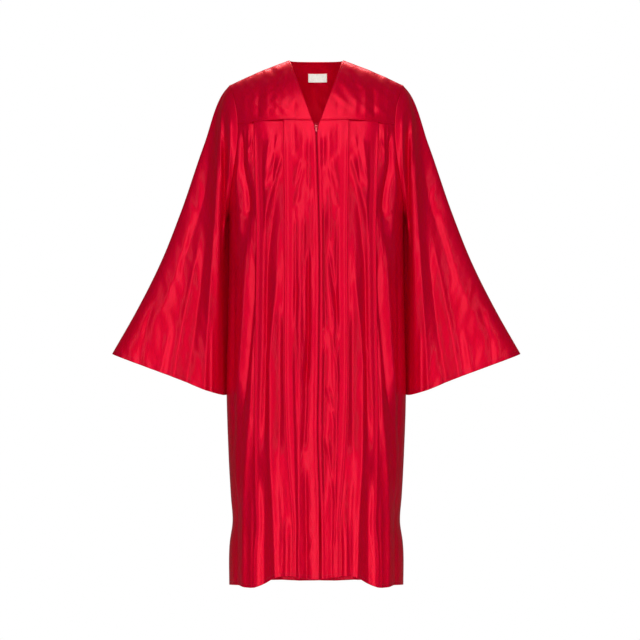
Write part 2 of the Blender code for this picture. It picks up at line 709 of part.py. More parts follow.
def wall(name, grid, thickness, material, collection, closed=False):
    """A wall of cloth round a sheet of points."""
    rows, columns = grid.shape[:2]
    points = [tuple(point) for point in (grid * MM).reshape(-1, 3)]
    faces = []
    for row in range(rows - 1):
        for column in range(columns if closed else columns - 1):
            after = (column + 1) % columns
            faces.append((row * columns + column, row * columns + after,
                          (row + 1) * columns + after, (row + 1) * columns + column))
    mesh = bpy.data.meshes.new(name)
    mesh.from_pydata(points, [], faces)
    mesh.polygons.foreach_set("use_smooth", [True] * len(mesh.polygons))
    mesh.materials.append(material)
    item = bpy.data.objects.new(name, mesh)
    collection.objects.link(item)
    split = item.modifiers.new("triangles", "TRIANGULATE")
    split.quad_method = "SHORTEST_DIAGONAL"
    solid = item.modifiers.new("wall", "SOLIDIFY")
    solid.thickness = thickness * MM
    solid.offset = 0.0
    return item


def on_back_yoke(place, down):
    """A point of the back yoke's own flat facets, and the way inward there."""
    places, downs = back_yoke_places(), yoke_downs()
    sheet = back_yoke_grid()
    column = int(np.clip(np.searchsorted(places, place, "right") - 1, 0, len(places) - 2))
    row = int(np.clip(np.searchsorted(downs, down, "right") - 1, 0, len(downs) - 2))
    across = (place - places[column]) / (places[column + 1] - places[column])
    fall = (down - downs[row]) / (downs[row + 1] - downs[row])
    upper = sheet[row, column] * (1 - across) + sheet[row, column + 1] * across
    lower = sheet[row + 1, column] * (1 - across) + sheet[row + 1, column + 1] * across
    inward = np.cross(lower - upper, sheet[row, column + 1] - sheet[row, column])
    inward = inward / np.linalg.norm(inward)
    return upper * (1 - fall) + lower * fall, inward * -np.sign(inward[1])


def label_grid():
    """The label's sheet: points of the back yoke, moved inward."""
    knots = back_yoke_places()
    edges = [math.asin((LABEL_CENTRE_X + side * LABEL_WIDTH / 2) / NECK_HALF_WIDTH)
             / (math.pi / 2) * NECK_SHARE for side in (-1, 1)]
    places = [edges[0]] + [k for k in knots if edges[0] < k < edges[1]] + [edges[1]]
    trial = np.linspace(0.0, 0.5, 101)
    heights = np.array([on_back_yoke(0.0, down)[0][2] for down in trial])
    ends = [float(np.interp(-level, -heights, trial))
            for level in (LABEL_TOP, LABEL_TOP - LABEL_HEIGHT)]
    downs = [ends[0]] + [k for k in yoke_downs() if ends[0] < k < ends[1]] + [ends[1]]
    depth = WALL / 2 + LABEL_WALL / 2 + LABEL_GAP
    rows = []
    for down in downs:
        row = []
        for place in places:
            before = on_back_yoke(place - LABEL_NUDGE, down)
            after = on_back_yoke(place + LABEL_NUDGE, down)
            row.append((before[0] + after[0]) / 2 + (before[1] + after[1]) / 2 * depth)
        rows.append(row)
    return np.array(rows)


def tape_grid():
    """The zip's tape behind the fronts, from their own points, moved inward."""
    heights = np.linspace(TAPE_TOP, TAPE_BOTTOM, TAPE_ROWS)
    offsets = np.linspace(-TAPE_HALF_WIDTH, TAPE_HALF_WIDTH, 4)
    behind = WALL / 2 + TAPE_GAP + TAPE_WALL / 2
    grid = []
    for height in heights:
        way = read_table(CENTRE, MEETING_LINE, height) + offsets
        points, outward = tube(-1, way, np.full(len(way), height))
        grid.append(points - outward * behind)
    return np.array(grid)


def chest_frame():
    """The frame of the zip's slider: its place on the tube, the way down the chest and outward."""
    here, _ = tube(-1, np.array(0.0), np.array(SLIDER_HEIGHT_AT))
    below, _ = tube(-1, np.array(0.0), np.array(SLIDER_HEIGHT_AT - SLIDER_LENGTH))
    down = Vector(below - here).normalized()
    across = Vector((1, 0, 0))
    outward = down.cross(across)
    if outward.y > 0:
        outward = -outward
    return Vector(here), across, down, outward


def block(name, size, place, axes, material, collection, rounding=0.0):
    """A block of the zip's hardware. size runs across, outward and down the chest."""
    bpy.ops.mesh.primitive_cube_add(size=1)
    item = bpy.context.object
    item.name = name
    across, outward, up = axes
    turn = Matrix((across, -outward, up)).transposed().to_4x4()
    item.data.transform(Matrix.Diagonal((size[0] * MM, size[1] * MM, size[2] * MM, 1)))
    item.matrix_world = Matrix.Translation(place * MM) @ turn
    item.data.materials.append(material)
    move_to(item, collection)
    if rounding:
        bevel = item.modifiers.new("rounding", "BEVEL")
        bevel.width = rounding * MM
        bevel.segments = 2
        bevel.limit_method = "ANGLE"
    return item


def rod(name, radius, length, place, material, collection):
    """A round rod along X."""
    bpy.ops.mesh.primitive_cylinder_add(vertices=ROUND_SIDES, radius=radius * MM, depth=length * MM)
    item = bpy.context.object
    item.name = name
    item.matrix_world = Matrix.Translation(place * MM) @ Matrix.Rotation(math.pi / 2, 4, "Y")
    item.data.materials.append(material)
    move_to(item, collection)
    return item


def move_to(item, collection):
    for old in list(item.users_collection):
        old.objects.unlink(item)
    collection.objects.link(item)


def as_cutter(item, collection):
    item.hide_render = True
    item.display_type = "WIRE"
    move_to(item, collection)


def combine(item, other, operation, cutters):
    change = item.modifiers.new(operation.lower(), "BOOLEAN")
    change.operation = operation
    change.object = other
    as_cutter(other, cutters)


def make_zip_slider(material, collection, cutters):
    here, across, down, outward = chest_frame()
    axes = (across, outward, -down)
    front = SLIDER_BACK + SLIDER_THICKNESS
    pin_out = front + PULL_BARREL_RADIUS + RUNNING_GAP
    slider = block("zip_slider", (SLIDER_WIDTH, SLIDER_THICKNESS, SLIDER_LENGTH),
                   here + outward * (SLIDER_BACK + SLIDER_THICKNESS / 2), axes, material,
                   collection, SLIDER_ROUNDING)
    reach = pin_out - front + PIN_RADIUS + LUG_WALL
    for side in (-1, 1):
        lug_x = side * (LUG_GAP + LUG_THICKNESS) / 2
        lug_at = here + across * lug_x + outward * (front + reach / 2 - SINK)
        lug = block("lug", (LUG_THICKNESS, reach, LUG_LENGTH), lug_at, axes, material, cutters)
        combine(slider, lug, "UNION", cutters)
    pin_at = here + outward * pin_out
    pin = rod("pin", PIN_RADIUS, LUG_GAP + LUG_THICKNESS, pin_at, material, cutters)
    combine(slider, pin, "UNION", cutters)
    return slider, pin_at


def make_zip_pull(pin_at, material, collection, cutters):
    _, across, down, outward = chest_frame()
    axes = (across, outward, -down)
    start = PULL_EYE_RADIUS + TAB_INSET
    centre = pin_at + down * (start + PULL_LENGTH / 2)
    pull = block("zip_pull_tab", (PULL_WIDTH, PULL_THICKNESS, PULL_LENGTH), centre, axes,
                 material, collection, TAB_ROUNDING)
    barrel = rod("barrel", PULL_BARREL_RADIUS, PULL_BARREL_LENGTH, pin_at, material, cutters)
    combine(pull, barrel, "UNION", cutters)
    for side in (-1, 1):
        notch_x = side * (PULL_BARREL_LENGTH + LUG_GAP) / 2
        notch_at = pin_at + across * notch_x + down * (start + SINK)
        notch = block("notch", (LUG_GAP, NOTCH_DEPTH, NOTCH_LENGTH), notch_at, axes, material, cutters)
        combine(pull, notch, "DIFFERENCE", cutters)
    eye = rod("eye", PULL_EYE_RADIUS, PULL_BARREL_LENGTH * 2, pin_at, material, cutters)
    combine(pull, eye, "DIFFERENCE", cutters)
    return pull


def main():
    clear_scene()
    gown = new_collection("graduation_gown")
    cutters = new_collection("cutters")
    satin = new_material("red_satin", RED, 0.38)
    tape_cloth = new_material("zip_tape_cloth", RED, 0.7)
    label_cloth = new_material("label_cloth", WHITE, 0.8)
    metal = new_material("painted_zip_metal", RED_METAL, 0.35, 0.4)

    for side, hand in ((1, "left"), (-1, "right")):
        wall("front_yoke_" + hand, front_yoke_grid(side), WALL, satin, gown)
        wall("front_" + hand, front_grid(side), WALL, satin, gown)
        wall("sleeve_" + hand, sleeve_grid(side), WALL, satin, gown, closed=True)
    wall("back_yoke", back_yoke_grid(), WALL, satin, gown)
    wall("back", back_grid(), WALL, satin, gown)
    wall("zip_tape", tape_grid(), TAPE_WALL, tape_cloth, gown)
    wall("neck_label", label_grid(), LABEL_WALL, label_cloth, gown)
    _, pin_at = make_zip_slider(metal, gown, cutters)
    make_zip_pull(pin_at, metal, gown, cutters)


main()
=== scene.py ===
# %% [markdown]
# # A red satin graduation gown
#
# The gown is a long robe that closes with a zip at the front. It is shown filled out, as if
# somebody wore it, but it is empty: one can look in at the neck, the cuffs and the hem.
#
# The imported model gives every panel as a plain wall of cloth. This lesson lays a thin, finely
# folded cloth on each of those walls, sews the hems, and gives the satin its shine.

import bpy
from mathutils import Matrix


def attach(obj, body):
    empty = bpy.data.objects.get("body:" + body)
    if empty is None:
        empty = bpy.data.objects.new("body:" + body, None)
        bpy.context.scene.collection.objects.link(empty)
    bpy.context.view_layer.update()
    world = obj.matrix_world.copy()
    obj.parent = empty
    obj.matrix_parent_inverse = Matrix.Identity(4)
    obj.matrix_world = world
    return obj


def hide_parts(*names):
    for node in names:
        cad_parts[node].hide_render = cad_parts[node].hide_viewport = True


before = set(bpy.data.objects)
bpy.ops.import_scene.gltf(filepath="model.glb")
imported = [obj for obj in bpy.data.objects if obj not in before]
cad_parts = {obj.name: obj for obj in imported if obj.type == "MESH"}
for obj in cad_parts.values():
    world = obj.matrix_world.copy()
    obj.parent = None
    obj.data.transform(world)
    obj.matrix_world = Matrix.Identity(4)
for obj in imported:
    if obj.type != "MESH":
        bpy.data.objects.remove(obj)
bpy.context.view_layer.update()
print("frame nodes:", sorted(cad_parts))

# %% Libraries and units
import math

import bpy
import numpy as np
from mathutils import Vector

MM = 0.001
rng = np.random.default_rng(51)

# %% [markdown]
# ## The studio
#
# A gown is photographed in front of a white wall with a large soft light near the camera. One
# could build a room for that, but a white world that lights the cloth only weakly does the same
# with less work: the camera sees white, while the folds keep their dark sides.

# %% World
WALL_LIGHT, WALL_BRIGHTNESS = 0.17, 1.0  # how strongly the wall lights the gown, and how it looks
world = bpy.data.worlds.new("studio")
bpy.context.scene.world = world
world.use_nodes = True
world_nodes, world_links = world.node_tree.nodes, world.node_tree.links
wall_light = world_nodes["Background"]
wall_light.inputs["Color"].default_value = (1.0, 0.98, 0.98, 1.0)
wall_light.inputs["Strength"].default_value = WALL_LIGHT
wall_seen = world_nodes.new("ShaderNodeBackground")
wall_seen.inputs["Color"].default_value = (1.0, 1.0, 1.0, 1.0)
wall_seen.inputs["Strength"].default_value = WALL_BRIGHTNESS
ray_kind = world_nodes.new("ShaderNodeLightPath")
choose = world_nodes.new("ShaderNodeMixShader")
world_links.new(ray_kind.outputs["Is Camera Ray"], choose.inputs[0])
world_links.new(wall_light.outputs[0], choose.inputs[1])
world_links.new(wall_seen.outputs[0], choose.inputs[2])
world_links.new(choose.outputs[0], world_nodes["World Output"].inputs["Surface"])
bpy.context.scene.view_settings.view_transform = "Standard"

# %% Camera
VIEW_WIDTH = 1.574  # metres across the frame, at the gown's middle
CAMERA_PLACE = Vector((0.0091, -5.0, -0.609))
camera_data = bpy.data.cameras.new("camera")
camera_data.sensor_width = 36.0
camera_data.lens = camera_data.sensor_width * -CAMERA_PLACE.y / VIEW_WIDTH
camera = bpy.data.objects.new("camera", camera_data)
bpy.context.scene.collection.objects.link(camera)
camera.location = CAMERA_PLACE
camera.rotation_euler = (math.pi / 2, 0.0, 0.0)
bpy.context.scene.camera = camera
print("lens %.1f mm" % camera_data.lens)


# %% Lights
def softbox(name, place, aim, size, watts):
    """A rectangular lamp that looks at a point."""
    lamp = bpy.data.lights.new(name, "AREA")
    lamp.shape = "RECTANGLE"
    lamp.size, lamp.size_y = size
    lamp.energy = watts
    item = bpy.data.objects.new(name, lamp)
    bpy.context.scene.collection.objects.link(item)
    item.location = place
    item.rotation_euler = (Vector(aim) - Vector(place)).to_track_quat("-Z", "Y").to_euler()


softbox("key_light", (0.0, -5.4, 0.5), (0.0, 0.0, -0.6), (2.0, 4.6), 95.0)
softbox("left_light", (-2.6, -3.8, 0.1), (0.0, 0.0, -0.6), (0.8, 2.4), 19.0)
softbox("right_light", (2.6, -3.8, 0.1), (0.0, 0.0, -0.6), (0.8, 2.4), 19.0)
softbox("low_light", (0.0, -2.8, -1.8), (0.0, 0.0, -0.1), (2.6, 1.4), 24.0)
softbox("top_light", (0.0, -3.0, 2.3), (0.0, 0.0, 0.0), (2.6, 1.6), 40.0)
softbox("back_light", (0.0, 2.8, 3.2), (0.0, 0.0, -0.7), (2.4, 1.6), 120.0)

# %% [markdown]
# ## Shader maths as plain expressions
#
# The satin needs many small sums of noises and waves. Wiring each of them by hand hides what
# they do, so a small class wraps a socket, and adding or multiplying two of them adds the
# Math node by itself.


# %% Nodes from expressions
class Wire:
    """A socket with arithmetic."""

    def __init__(self, tree, socket):
        self.tree = tree
        self.socket = socket

    def math(self, operation, *others):
        node = self.tree.nodes.new("ShaderNodeMath")
        node.operation = operation
        for slot, value in zip(node.inputs, (self,) + others):
            feed(slot, value)
        return Wire(self.tree, node.outputs[0])

    def __add__(self, other):
        return self.math("ADD", other)

    def __mul__(self, other):
        return self.math("MULTIPLY", other)

    def __sub__(self, other):
        return self.math("SUBTRACT", other)

    def __rsub__(self, other):
        return self.math("MULTIPLY", -1.0).math("ADD", other)

    __radd__ = __add__
    __rmul__ = __mul__

    def clamp(self, low, high):
        return self.math("MAXIMUM", low).math("MINIMUM", high)

    def wave(self, pitch):
        """-1 to 1 and back once every pitch."""
        return (self * (2 * math.pi / pitch)).math("SINE")


def feed(slot, value):
    """Links a wire to a socket, or sets the socket to a plain value."""
    if isinstance(value, Wire):
        value.tree.links.new(value.socket, slot)
    else:
        slot.default_value = value


class Finish:
    """A material with one Principled shader and a short way to add nodes."""

    def __init__(self, name, **values):
        self.material = bpy.data.materials.new(name)
        self.material.use_nodes = True
        self.tree = self.material.node_tree
        self.shader = self.tree.nodes["Principled BSDF"]
        for socket, value in values.items():
            self.shader.inputs[socket.replace("_", " ")].default_value = value

    def node(self, kind, settings=(), output=0, **sockets):
        made = self.tree.nodes.new("ShaderNode" + kind)
        for name, value in dict(settings).items():
            setattr(made, name, value)
        for name, value in sockets.items():
            feed(made.inputs[name], value)
        return Wire(self.tree, made.outputs[output])

    def noise(self, place, scale, detail=2.0, roughness=0.5):
        return self.node("TexNoise", Vector=place, Scale=scale, Detail=detail, Roughness=roughness)

    def streaks(self, place, scale, detail=2.0, roughness=0.5):
        """Noise drawn out along the axes on which its scale is small."""
        return self.noise(self.node("Mapping", Vector=place, Scale=scale), 1.0, detail, roughness)

    def axis(self, place, index):
        return self.node("SeparateXYZ", output=index, Vector=place)

    def blend(self, share, first, second):
        mix = self.tree.nodes.new("ShaderNodeMix")
        mix.data_type = "RGBA"
        for number, value in ((0, share), (6, first), (7, second)):
            feed(mix.inputs[number], value)
        return Wire(self.tree, mix.outputs[2])

    def into(self, socket, value):
        self.tree.links.new(value.socket, self.shader.inputs[socket])

    def bump(self, height, distance):
        self.into("Normal", self.node("Bump", Height=height, Distance=distance, Strength=1.0))


# %% [markdown]
# ## Satin
#
# Satin is a weave whose long floating threads lie side by side, which makes it shine. From a
# step away one sees fine streaks along the warp and a faint grain, not the threads themselves.
# The streaks follow the panel, so they read the panel's own UV map, which is in metres of cloth.
# The cloth is thin, so some light passes through it and fills the inside of the gown.

# %% Satin and thread
DEEP_RED = (0.58, 0.0, 0.014, 1.0)
BRIGHT_RED = (0.80, 0.0, 0.034, 1.0)
THREAD_PITCH, FLOAT_LENGTH, TWIST_PITCH = 0.0007, 0.0034, 0.0009  # metres


def satin(name):
    """The gown's cloth. The same noises vary its tone, its shine and its grain."""
    cloth = Finish(name, Metallic=0.38, Specular_IOR_Level=0.06, Specular_Tint=(1.0, 0.1, 0.2, 1.0),
                   Coat_Weight=0.10, Coat_Roughness=0.2,
                   Subsurface_Weight=0.5, Subsurface_Radius=(1.0, 0.05, 0.12), Subsurface_Scale=0.004)
    place = cloth.node("UVMap", {"uv_map": "cloth"})
    streaks = cloth.streaks(place, (900.0, 42.0, 1.0), 3.0, 0.6)
    slubs = cloth.streaks(place, (160.0, 9.0, 1.0))
    clouds = cloth.noise(place, 9.0, 3.0)
    mottle = cloth.streaks(place, (240.0, 90.0, 1.0), 3.0, 0.6)
    warp = cloth.axis(place, 0)
    weft = cloth.axis(place, 1)
    threads = (warp + weft * 0.2).wave(THREAD_PITCH)
    floats = (weft + warp * 0.31).wave(FLOAT_LENGTH)
    weave = threads * 0.6 + floats * threads * 0.4
    tone = (streaks * 0.4 + mottle * 0.6 + slubs * 0.15 + clouds * 0.45 - 0.3).clamp(0.0, 1.0)
    cloth.into("Base Color", cloth.blend(tone, DEEP_RED, BRIGHT_RED))
    rough = cloth.streaks(place, (500.0, 60.0, 1.0))
    cloth.into("Roughness", (rough * 0.12 + mottle * 0.16 + slubs * 0.08 + 0.19).clamp(0.27, 0.6))
    cloth.bump(weave * 0.06 + streaks * 0.25 + mottle * 1.1 + slubs * 0.12, 0.00030)
    return cloth.material


def twisted(thread, axis, dark, light):
    """Gives a thread two shades that wind round an axis, and returns the winding."""
    twist = thread.axis(thread.node("TexCoord", output=3), axis).wave(TWIST_PITCH)
    thread.into("Base Color", thread.blend(twist * 0.5 + 0.5, dark, light))
    return twist


SATIN = satin("red_satin")
red_thread = Finish("red_thread", Roughness=0.5, Sheen_Weight=0.2)
red_twist = twisted(red_thread, 2, (0.40, 0.0, 0.01, 1.0), (0.62, 0.0, 0.03, 1.0))
red_thread.bump(red_twist, 0.0001)

# %% White floor, well below the gown
FLOOR_HEIGHT, FLOOR_SIZE = -1.90, 5.0
bpy.ops.mesh.primitive_plane_add(size=FLOOR_SIZE, location=(0.0, 0.0, FLOOR_HEIGHT))
floor = bpy.context.object
floor.name = "floor"
paper = Finish("floor_paper", Roughness=0.85)
fibres = paper.noise(paper.node("TexCoord", output=3), 300.0, 3.0)
paper.into("Base Color", paper.blend(fibres, (0.84, 0.84, 0.83, 1.0), (0.90, 0.90, 0.89, 1.0)))
floor.data.materials.append(paper.material)

# %% [markdown]
# ## Reading short tables
#
# A pattern cutter writes a garment down as a few measures at a few heights. The same is done
# here: each table has a row for each height, and a smooth curve joins the rows.


# %% Curves through tables
def ease(start, end, value):
    """0 before start, 1 after end, and a soft step between."""
    share = np.clip((value - start) / (end - start), 0.0, 1.0)
    return share * share * (3.0 - 2.0 * share)


def bell(distance, width):
    """1 at no distance, and next to nothing at twice the width."""
    return np.exp(-((distance / width) ** 2))


def rising(rows):
    """A table with the values of its first column in rising order."""
    table = np.array(rows, float)
    return table[::-1] if table[0, 0] > table[-1, 0] else table


def curve(rows, column, at):
    """A smooth curve through one column of a table, read at the value of its first column."""
    table = rising(rows)
    place, value = table[:, 0], table[:, column]
    slope = np.gradient(value, place)
    at = np.clip(np.asarray(at, float), place[0], place[-1])
    row = np.clip(np.searchsorted(place, at) - 1, 0, len(place) - 2)
    step = place[row + 1] - place[row]
    t = (at - place[row]) / step
    start = (1 + 2 * t) * (1 - t) ** 2 * value[row] + t * (1 - t) ** 2 * step * slope[row]
    end = t * t * (3 - 2 * t) * value[row + 1] + t * t * (t - 1) * step * slope[row + 1]
    return start + end


def straight(rows, column, at):
    """Straight lines through one column of a table."""
    table = rising(rows)
    return np.interp(at, table[:, 0], table[:, column])


# %% [markdown]
# ## The body as a tube
#
# The cloth of the body hangs as one wide tube, a little squarer than an ellipse. Each ring is
# known from its half width and its depth before and behind. A place on the cloth is then two
# numbers: the way round from the centre line, and the height.

# %% The body's measures, in millimetres
# Columns: height, half width, front depth, back depth
SECTIONS = (
    (-100, 229, 105, 97), (-134, 226, 112, 105), (-200, 221, 127, 118), (-280, 217, 138, 122),
    (-352, 214, 142, 124), (-450, 214, 144, 127), (-600, 217, 147, 132), (-800, 220, 152, 141),
    (-945, 215, 157, 149), (-1040, 210, 160, 155), (-1108, 206, 163, 159), (-1150, 212, 164, 162),
    (-1275, 214, 168, 168),
)
HALF_WIDTH, FRONT_DEPTH, BACK_DEPTH = 1, 2, 3
TYPICAL_RING = SECTIONS[5]
ROUNDNESS = 2.3  # 2 is an ellipse, more is squarer
GIRTH = 295.0  # the way round from the centre line to the side seam
ARMHOLE_MIDDLE, ARMHOLE_HALF_HEIGHT, ARMHOLE_DEPTH = -192.5, 159.5, 72.0
SHOULDER_TIP, ARMHOLE_PULL, ARMHOLE_LEAN = 214.0, 20.6, 0.8
CORNER_SHARE = 0.62  # where the yoke's seam meets the armhole


def ring_shape():
    """A typical ring's angles, and the way round to each of them."""
    angle = np.linspace(0.0, math.pi / 2, 1801)
    across = TYPICAL_RING[HALF_WIDTH] * np.sin(angle) ** (2 / ROUNDNESS)
    forward = TYPICAL_RING[FRONT_DEPTH] * np.cos(angle) ** (2 / ROUNDNESS)
    way = np.append(0.0, np.cumsum(np.hypot(np.diff(across), np.diff(forward))))
    return angle, way / way[-1] * GIRTH


RING_ANGLE, RING_WAY = ring_shape()


def ring_at(face, height):
    """The half width and the depth of the body. face is -1 before and +1 behind."""
    depth = FRONT_DEPTH if face < 0 else BACK_DEPTH
    return curve(SECTIONS, HALF_WIDTH, height), curve(SECTIONS, depth, height)


def tube(face, way, height):
    """Points and outward directions of the smooth body."""
    half_width, depth = ring_at(face, height)
    side = np.where(way < 0, -1.0, 1.0)
    angle = np.interp(np.abs(way), RING_WAY, RING_ANGLE)
    across = np.sin(angle) ** (2 / ROUNDNESS)
    along = np.cos(angle) ** (2 / ROUNDNESS)
    points = np.stack([side * half_width * across, face * depth * along, height + 0 * way], -1)
    out_x = side * across ** (ROUNDNESS - 1) / half_width
    out_y = face * along ** (ROUNDNESS - 1) / depth
    length = np.hypot(out_x, out_y)
    return points, np.stack([out_x / length, out_y / length, 0 * out_x], -1)


def armhole(share, face):
    """A point of the left armhole, from the underarm (share 0) to the shoulder tip (share 1)."""
    angle = math.pi * (1 - np.asarray(share, float))
    pull = ARMHOLE_PULL * np.sin(angle) ** 2 * (1 + ARMHOLE_LEAN * np.cos(angle))
    height = ARMHOLE_MIDDLE + ARMHOLE_HALF_HEIGHT * np.cos(angle)
    return np.stack([SHOULDER_TIP - pull, face * ARMHOLE_DEPTH * np.sin(angle), height], -1)


def body_edge(face, height):
    """The way round to the armhole or the side seam, and how far the edge is shifted there."""
    turn = np.clip((height - ARMHOLE_MIDDLE) / ARMHOLE_HALF_HEIGHT, -1.0, 1.0)
    hole = armhole(1 - np.arccos(turn) / math.pi, face)
    half_width, depth = ring_at(face, height)
    angle = np.arccos(np.clip(np.abs(hole[..., 1]) / depth, 0.0, 1.0) ** (ROUNDNESS / 2))
    shift = hole[..., 0] - half_width * np.sin(angle) ** (2 / ROUNDNESS)
    way = np.interp(angle, RING_ANGLE, RING_WAY)
    above = height > ARMHOLE_MIDDLE - ARMHOLE_HALF_HEIGHT + 0.01
    return np.where(above, way, GIRTH), np.where(above, shift, 0.0)


def drawn_tube(face, way, height):
    """The tube with its cloth drawn to the armhole, and the way round to its edge."""
    edge, shift = body_edge(face, height)
    points, outward = tube(face, way, height)
    points[..., 0] += np.sign(way) * shift * np.clip(np.abs(way) / edge, 0.0, 1.0) ** 3
    return points, outward, edge


print("ring at the chest: %d mm wide" % (2 * curve(SECTIONS, HALF_WIDTH, -200)))

# %% [markdown]
# ## Folds
#
# Satin hangs in long soft ridges and hollows, with short sharp creases where it is pulled. A
# cloth simulation would find folds of its own, but here each fold has its place, so the folds
# are listed one by one: a short path down the panel, a width, and a lift off the smooth form.

# %% Folds of the fronts, seen from the front
# Each row: the path as (across, height) from the top down, the fold's width towards the centre
# and away from it, and its lift; sizes in millimetres
SHARED_FOLDS = (
    (((92, -160), (108, -230), (130, -310)), (5, 16), 4.6),
    (((80, -205), (106, -298), (123, -370), (134, -440)), (4, 18), 6.4),
    (((90, -250), (108, -370), (120, -500), (122, -657), (127, -960)), (12, 10), -8.5),
    (((93, -400), (96, -530), (108, -657), (110, -900), (100, -1135), (94, -1400)), (11, 8), 8.0),
    (((90, -560), (89, -700), (90, -960)), (8, 8), -5.0),
    (((125, -670), (111, -735)), (4, 5), 1.6),
    (((72, -1060), (72, -1400)), (9, 9), 5.0),
    (((127, -960), (127, -1400)), (15, 13), -8.0),
    (((57, -128), (58, -215)), (8, 8), -3.0),
    (((31, -128), (31, -240)), (9, 9), 1.6),
    (((174, -134), (172, -245)), (3, 4), 2.6),
    (((164, -134), (163, -240)), (4, 3), 2.6),
    (((155, -134), (154, -225)), (3, 3), 2.0),
    (((148, -165), (166, -208)), (3, 4), 2.2),
    (((181, -140), (179, -230), (168, -300), (166, -380)), (9, 6), -11.0),
    (((188, -200), (187, -290), (182, -380), (180, -430)), (6, 9), 5.0),
    (((160, -380), (168, -450), (173, -561), (179, -657), (184, -720), (189, -820)), (12, 10), 7.0),
    (((149, -430), (152, -560), (160, -657), (170, -752), (183, -860)), (6, 8), -8.0),
    (((146, -480), (148, -600), (153, -760), (166, -920), (172, -1039), (171, -1400)), (7, 13), 6.5),
    (((157, -1000), (157, -1400)), (4, 4), 2.5),
    (((201, -420), (203, -700), (201, -960)), (10, 8), -5.0),
    (((194, -980), (195, -1400)), (12, 10), -6.0),
    (((52, -330), (50, -480), (48, -640)), (5, 7), -4.5),
    (((66, -340), (67, -520), (64, -720)), (3, 5), 3.0),
    (((54, -660), (51, -900), (50, -1120)), (6, 7), 5.0),
    (((66, -740), (63, -1010)), (4, 4), -3.5),
    (((100, -160), (104, -300)), (5, 7), -3.2),
    (((112, -170), (121, -260)), (4, 8), 2.6),
)
THIN_RIDGES = (
    (((139, -150), (141, -400), (142, -700)), (2.5, 2.5), 1.4),
    (((136, -400), (139, -657), (142, -900)), (2.5, 2.5), 1.2),
    (((68, -135), (70, -400), (69, -700)), (2.5, 3), 1.4),
    (((61, -240), (62, -500), (63, -800)), (2.5, 3), 1.0),
    (((52, -420), (60, -520), (57, -640), (46, -720)), (2.5, 4), 1.5),
    (((46, -560), (40, -700), (44, -820)), (2.5, 3), 1.2),
    (((118, -330), (130, -450), (133, -620)), (2.5, 4), 1.5),
    (((104, -620), (114, -760), (115, -930)), (2.5, 4), 1.2),
    (((88, -980), (82, -1100), (84, -1230)), (2.5, 4), 1.4),
    (((156, -300), (158, -420), (162, -520)), (2.5, 4), 1.4),
    (((172, -480), (178, -640), (186, -800)), (3, 4), 1.4),
    (((190, -700), (192, -900), (190, -1100)), (3, 4), 1.2),
    (((49, -980), (44, -1100), (40, -1230)), (2.5, 3.5), 1.2),
)
DRAG_FOLDS = (
    (((36, -215), (46, -262), (62, -312), (68, -335)), (3, 7), 2.2),
    (((29, -235), (40, -290), (54, -338)), (3, 5), 1.8),
    (((38, -300), (47, -326), (66, -341)), (3, 4), 2.0),
    (((64, -352), (52, -372), (58, -395), (66, -420)), (3, 4), 1.5),
    (((45, -350), (54, -385), (47, -420)), (3, 3), 1.2),
)
RIGHT_FRONT_FOLDS = (
    (((17, -430), (19, -500), (20, -671), (25, -780)), (4, 4), -15.0),
    (((24, -700), (27, -860), (33, -940)), (5, 5), -5.0),
    (((46, -505), (56, -600), (66, -690)), (5, 8), -5.0),
    (((17, -170), (18, -310)), (4, 5), -2.5),
    (((36, -420), (38, -640), (40, -900), (42, -1400)), (8, 10), 3.6),
    (((17, -1060), (17, -1125)), (4, 4), 2.2),
    (((8, -1135), (25, -1190)), (4, 4), 2.0),
    (((28, -330), (31, -520), (29, -700)), (4, 6), -4.0),
    (((12, -300), (13, -560)), (3, 4), 2.2),
    (((27, -930), (23, -1120), (22, -1400)), (5, 7), -5.5),
) + DRAG_FOLDS
LEFT_FRONT_FOLDS = (
    (((28, -430), (40, -513), (52, -585), (62, -680)), (7, 5), -6.0),
    (((18, -165), (18, -250)), (4, 4), -2.5),
    (((33, -620), (44, -690), (55, -770)), (3, 5), 2.4),
    (((21, -760), (34, -800), (48, -860)), (3, 5), 2.4),
    (((11, -850), (28, -930)), (3, 5), 2.0),
    (((26, -880), (40, -1000), (58, -1090)), (3, 6), 2.6),
    (((53, -1075), (37, -1160)), (5, 3), 2.0),
    (((46, -700), (40, -900), (36, -1400)), (10, 8), -3.0),
    (((60, -900), (62, -1400)), (8, 9), 3.0),
    (((20, -310), (19, -500), (24, -660)), (4, 5), -4.5),
    (((30, -280), (31, -430)), (3, 5), 2.6),
    (((22, -640), (18, -860), (20, -1050)), (4, 6), -4.2),
) + DRAG_FOLDS
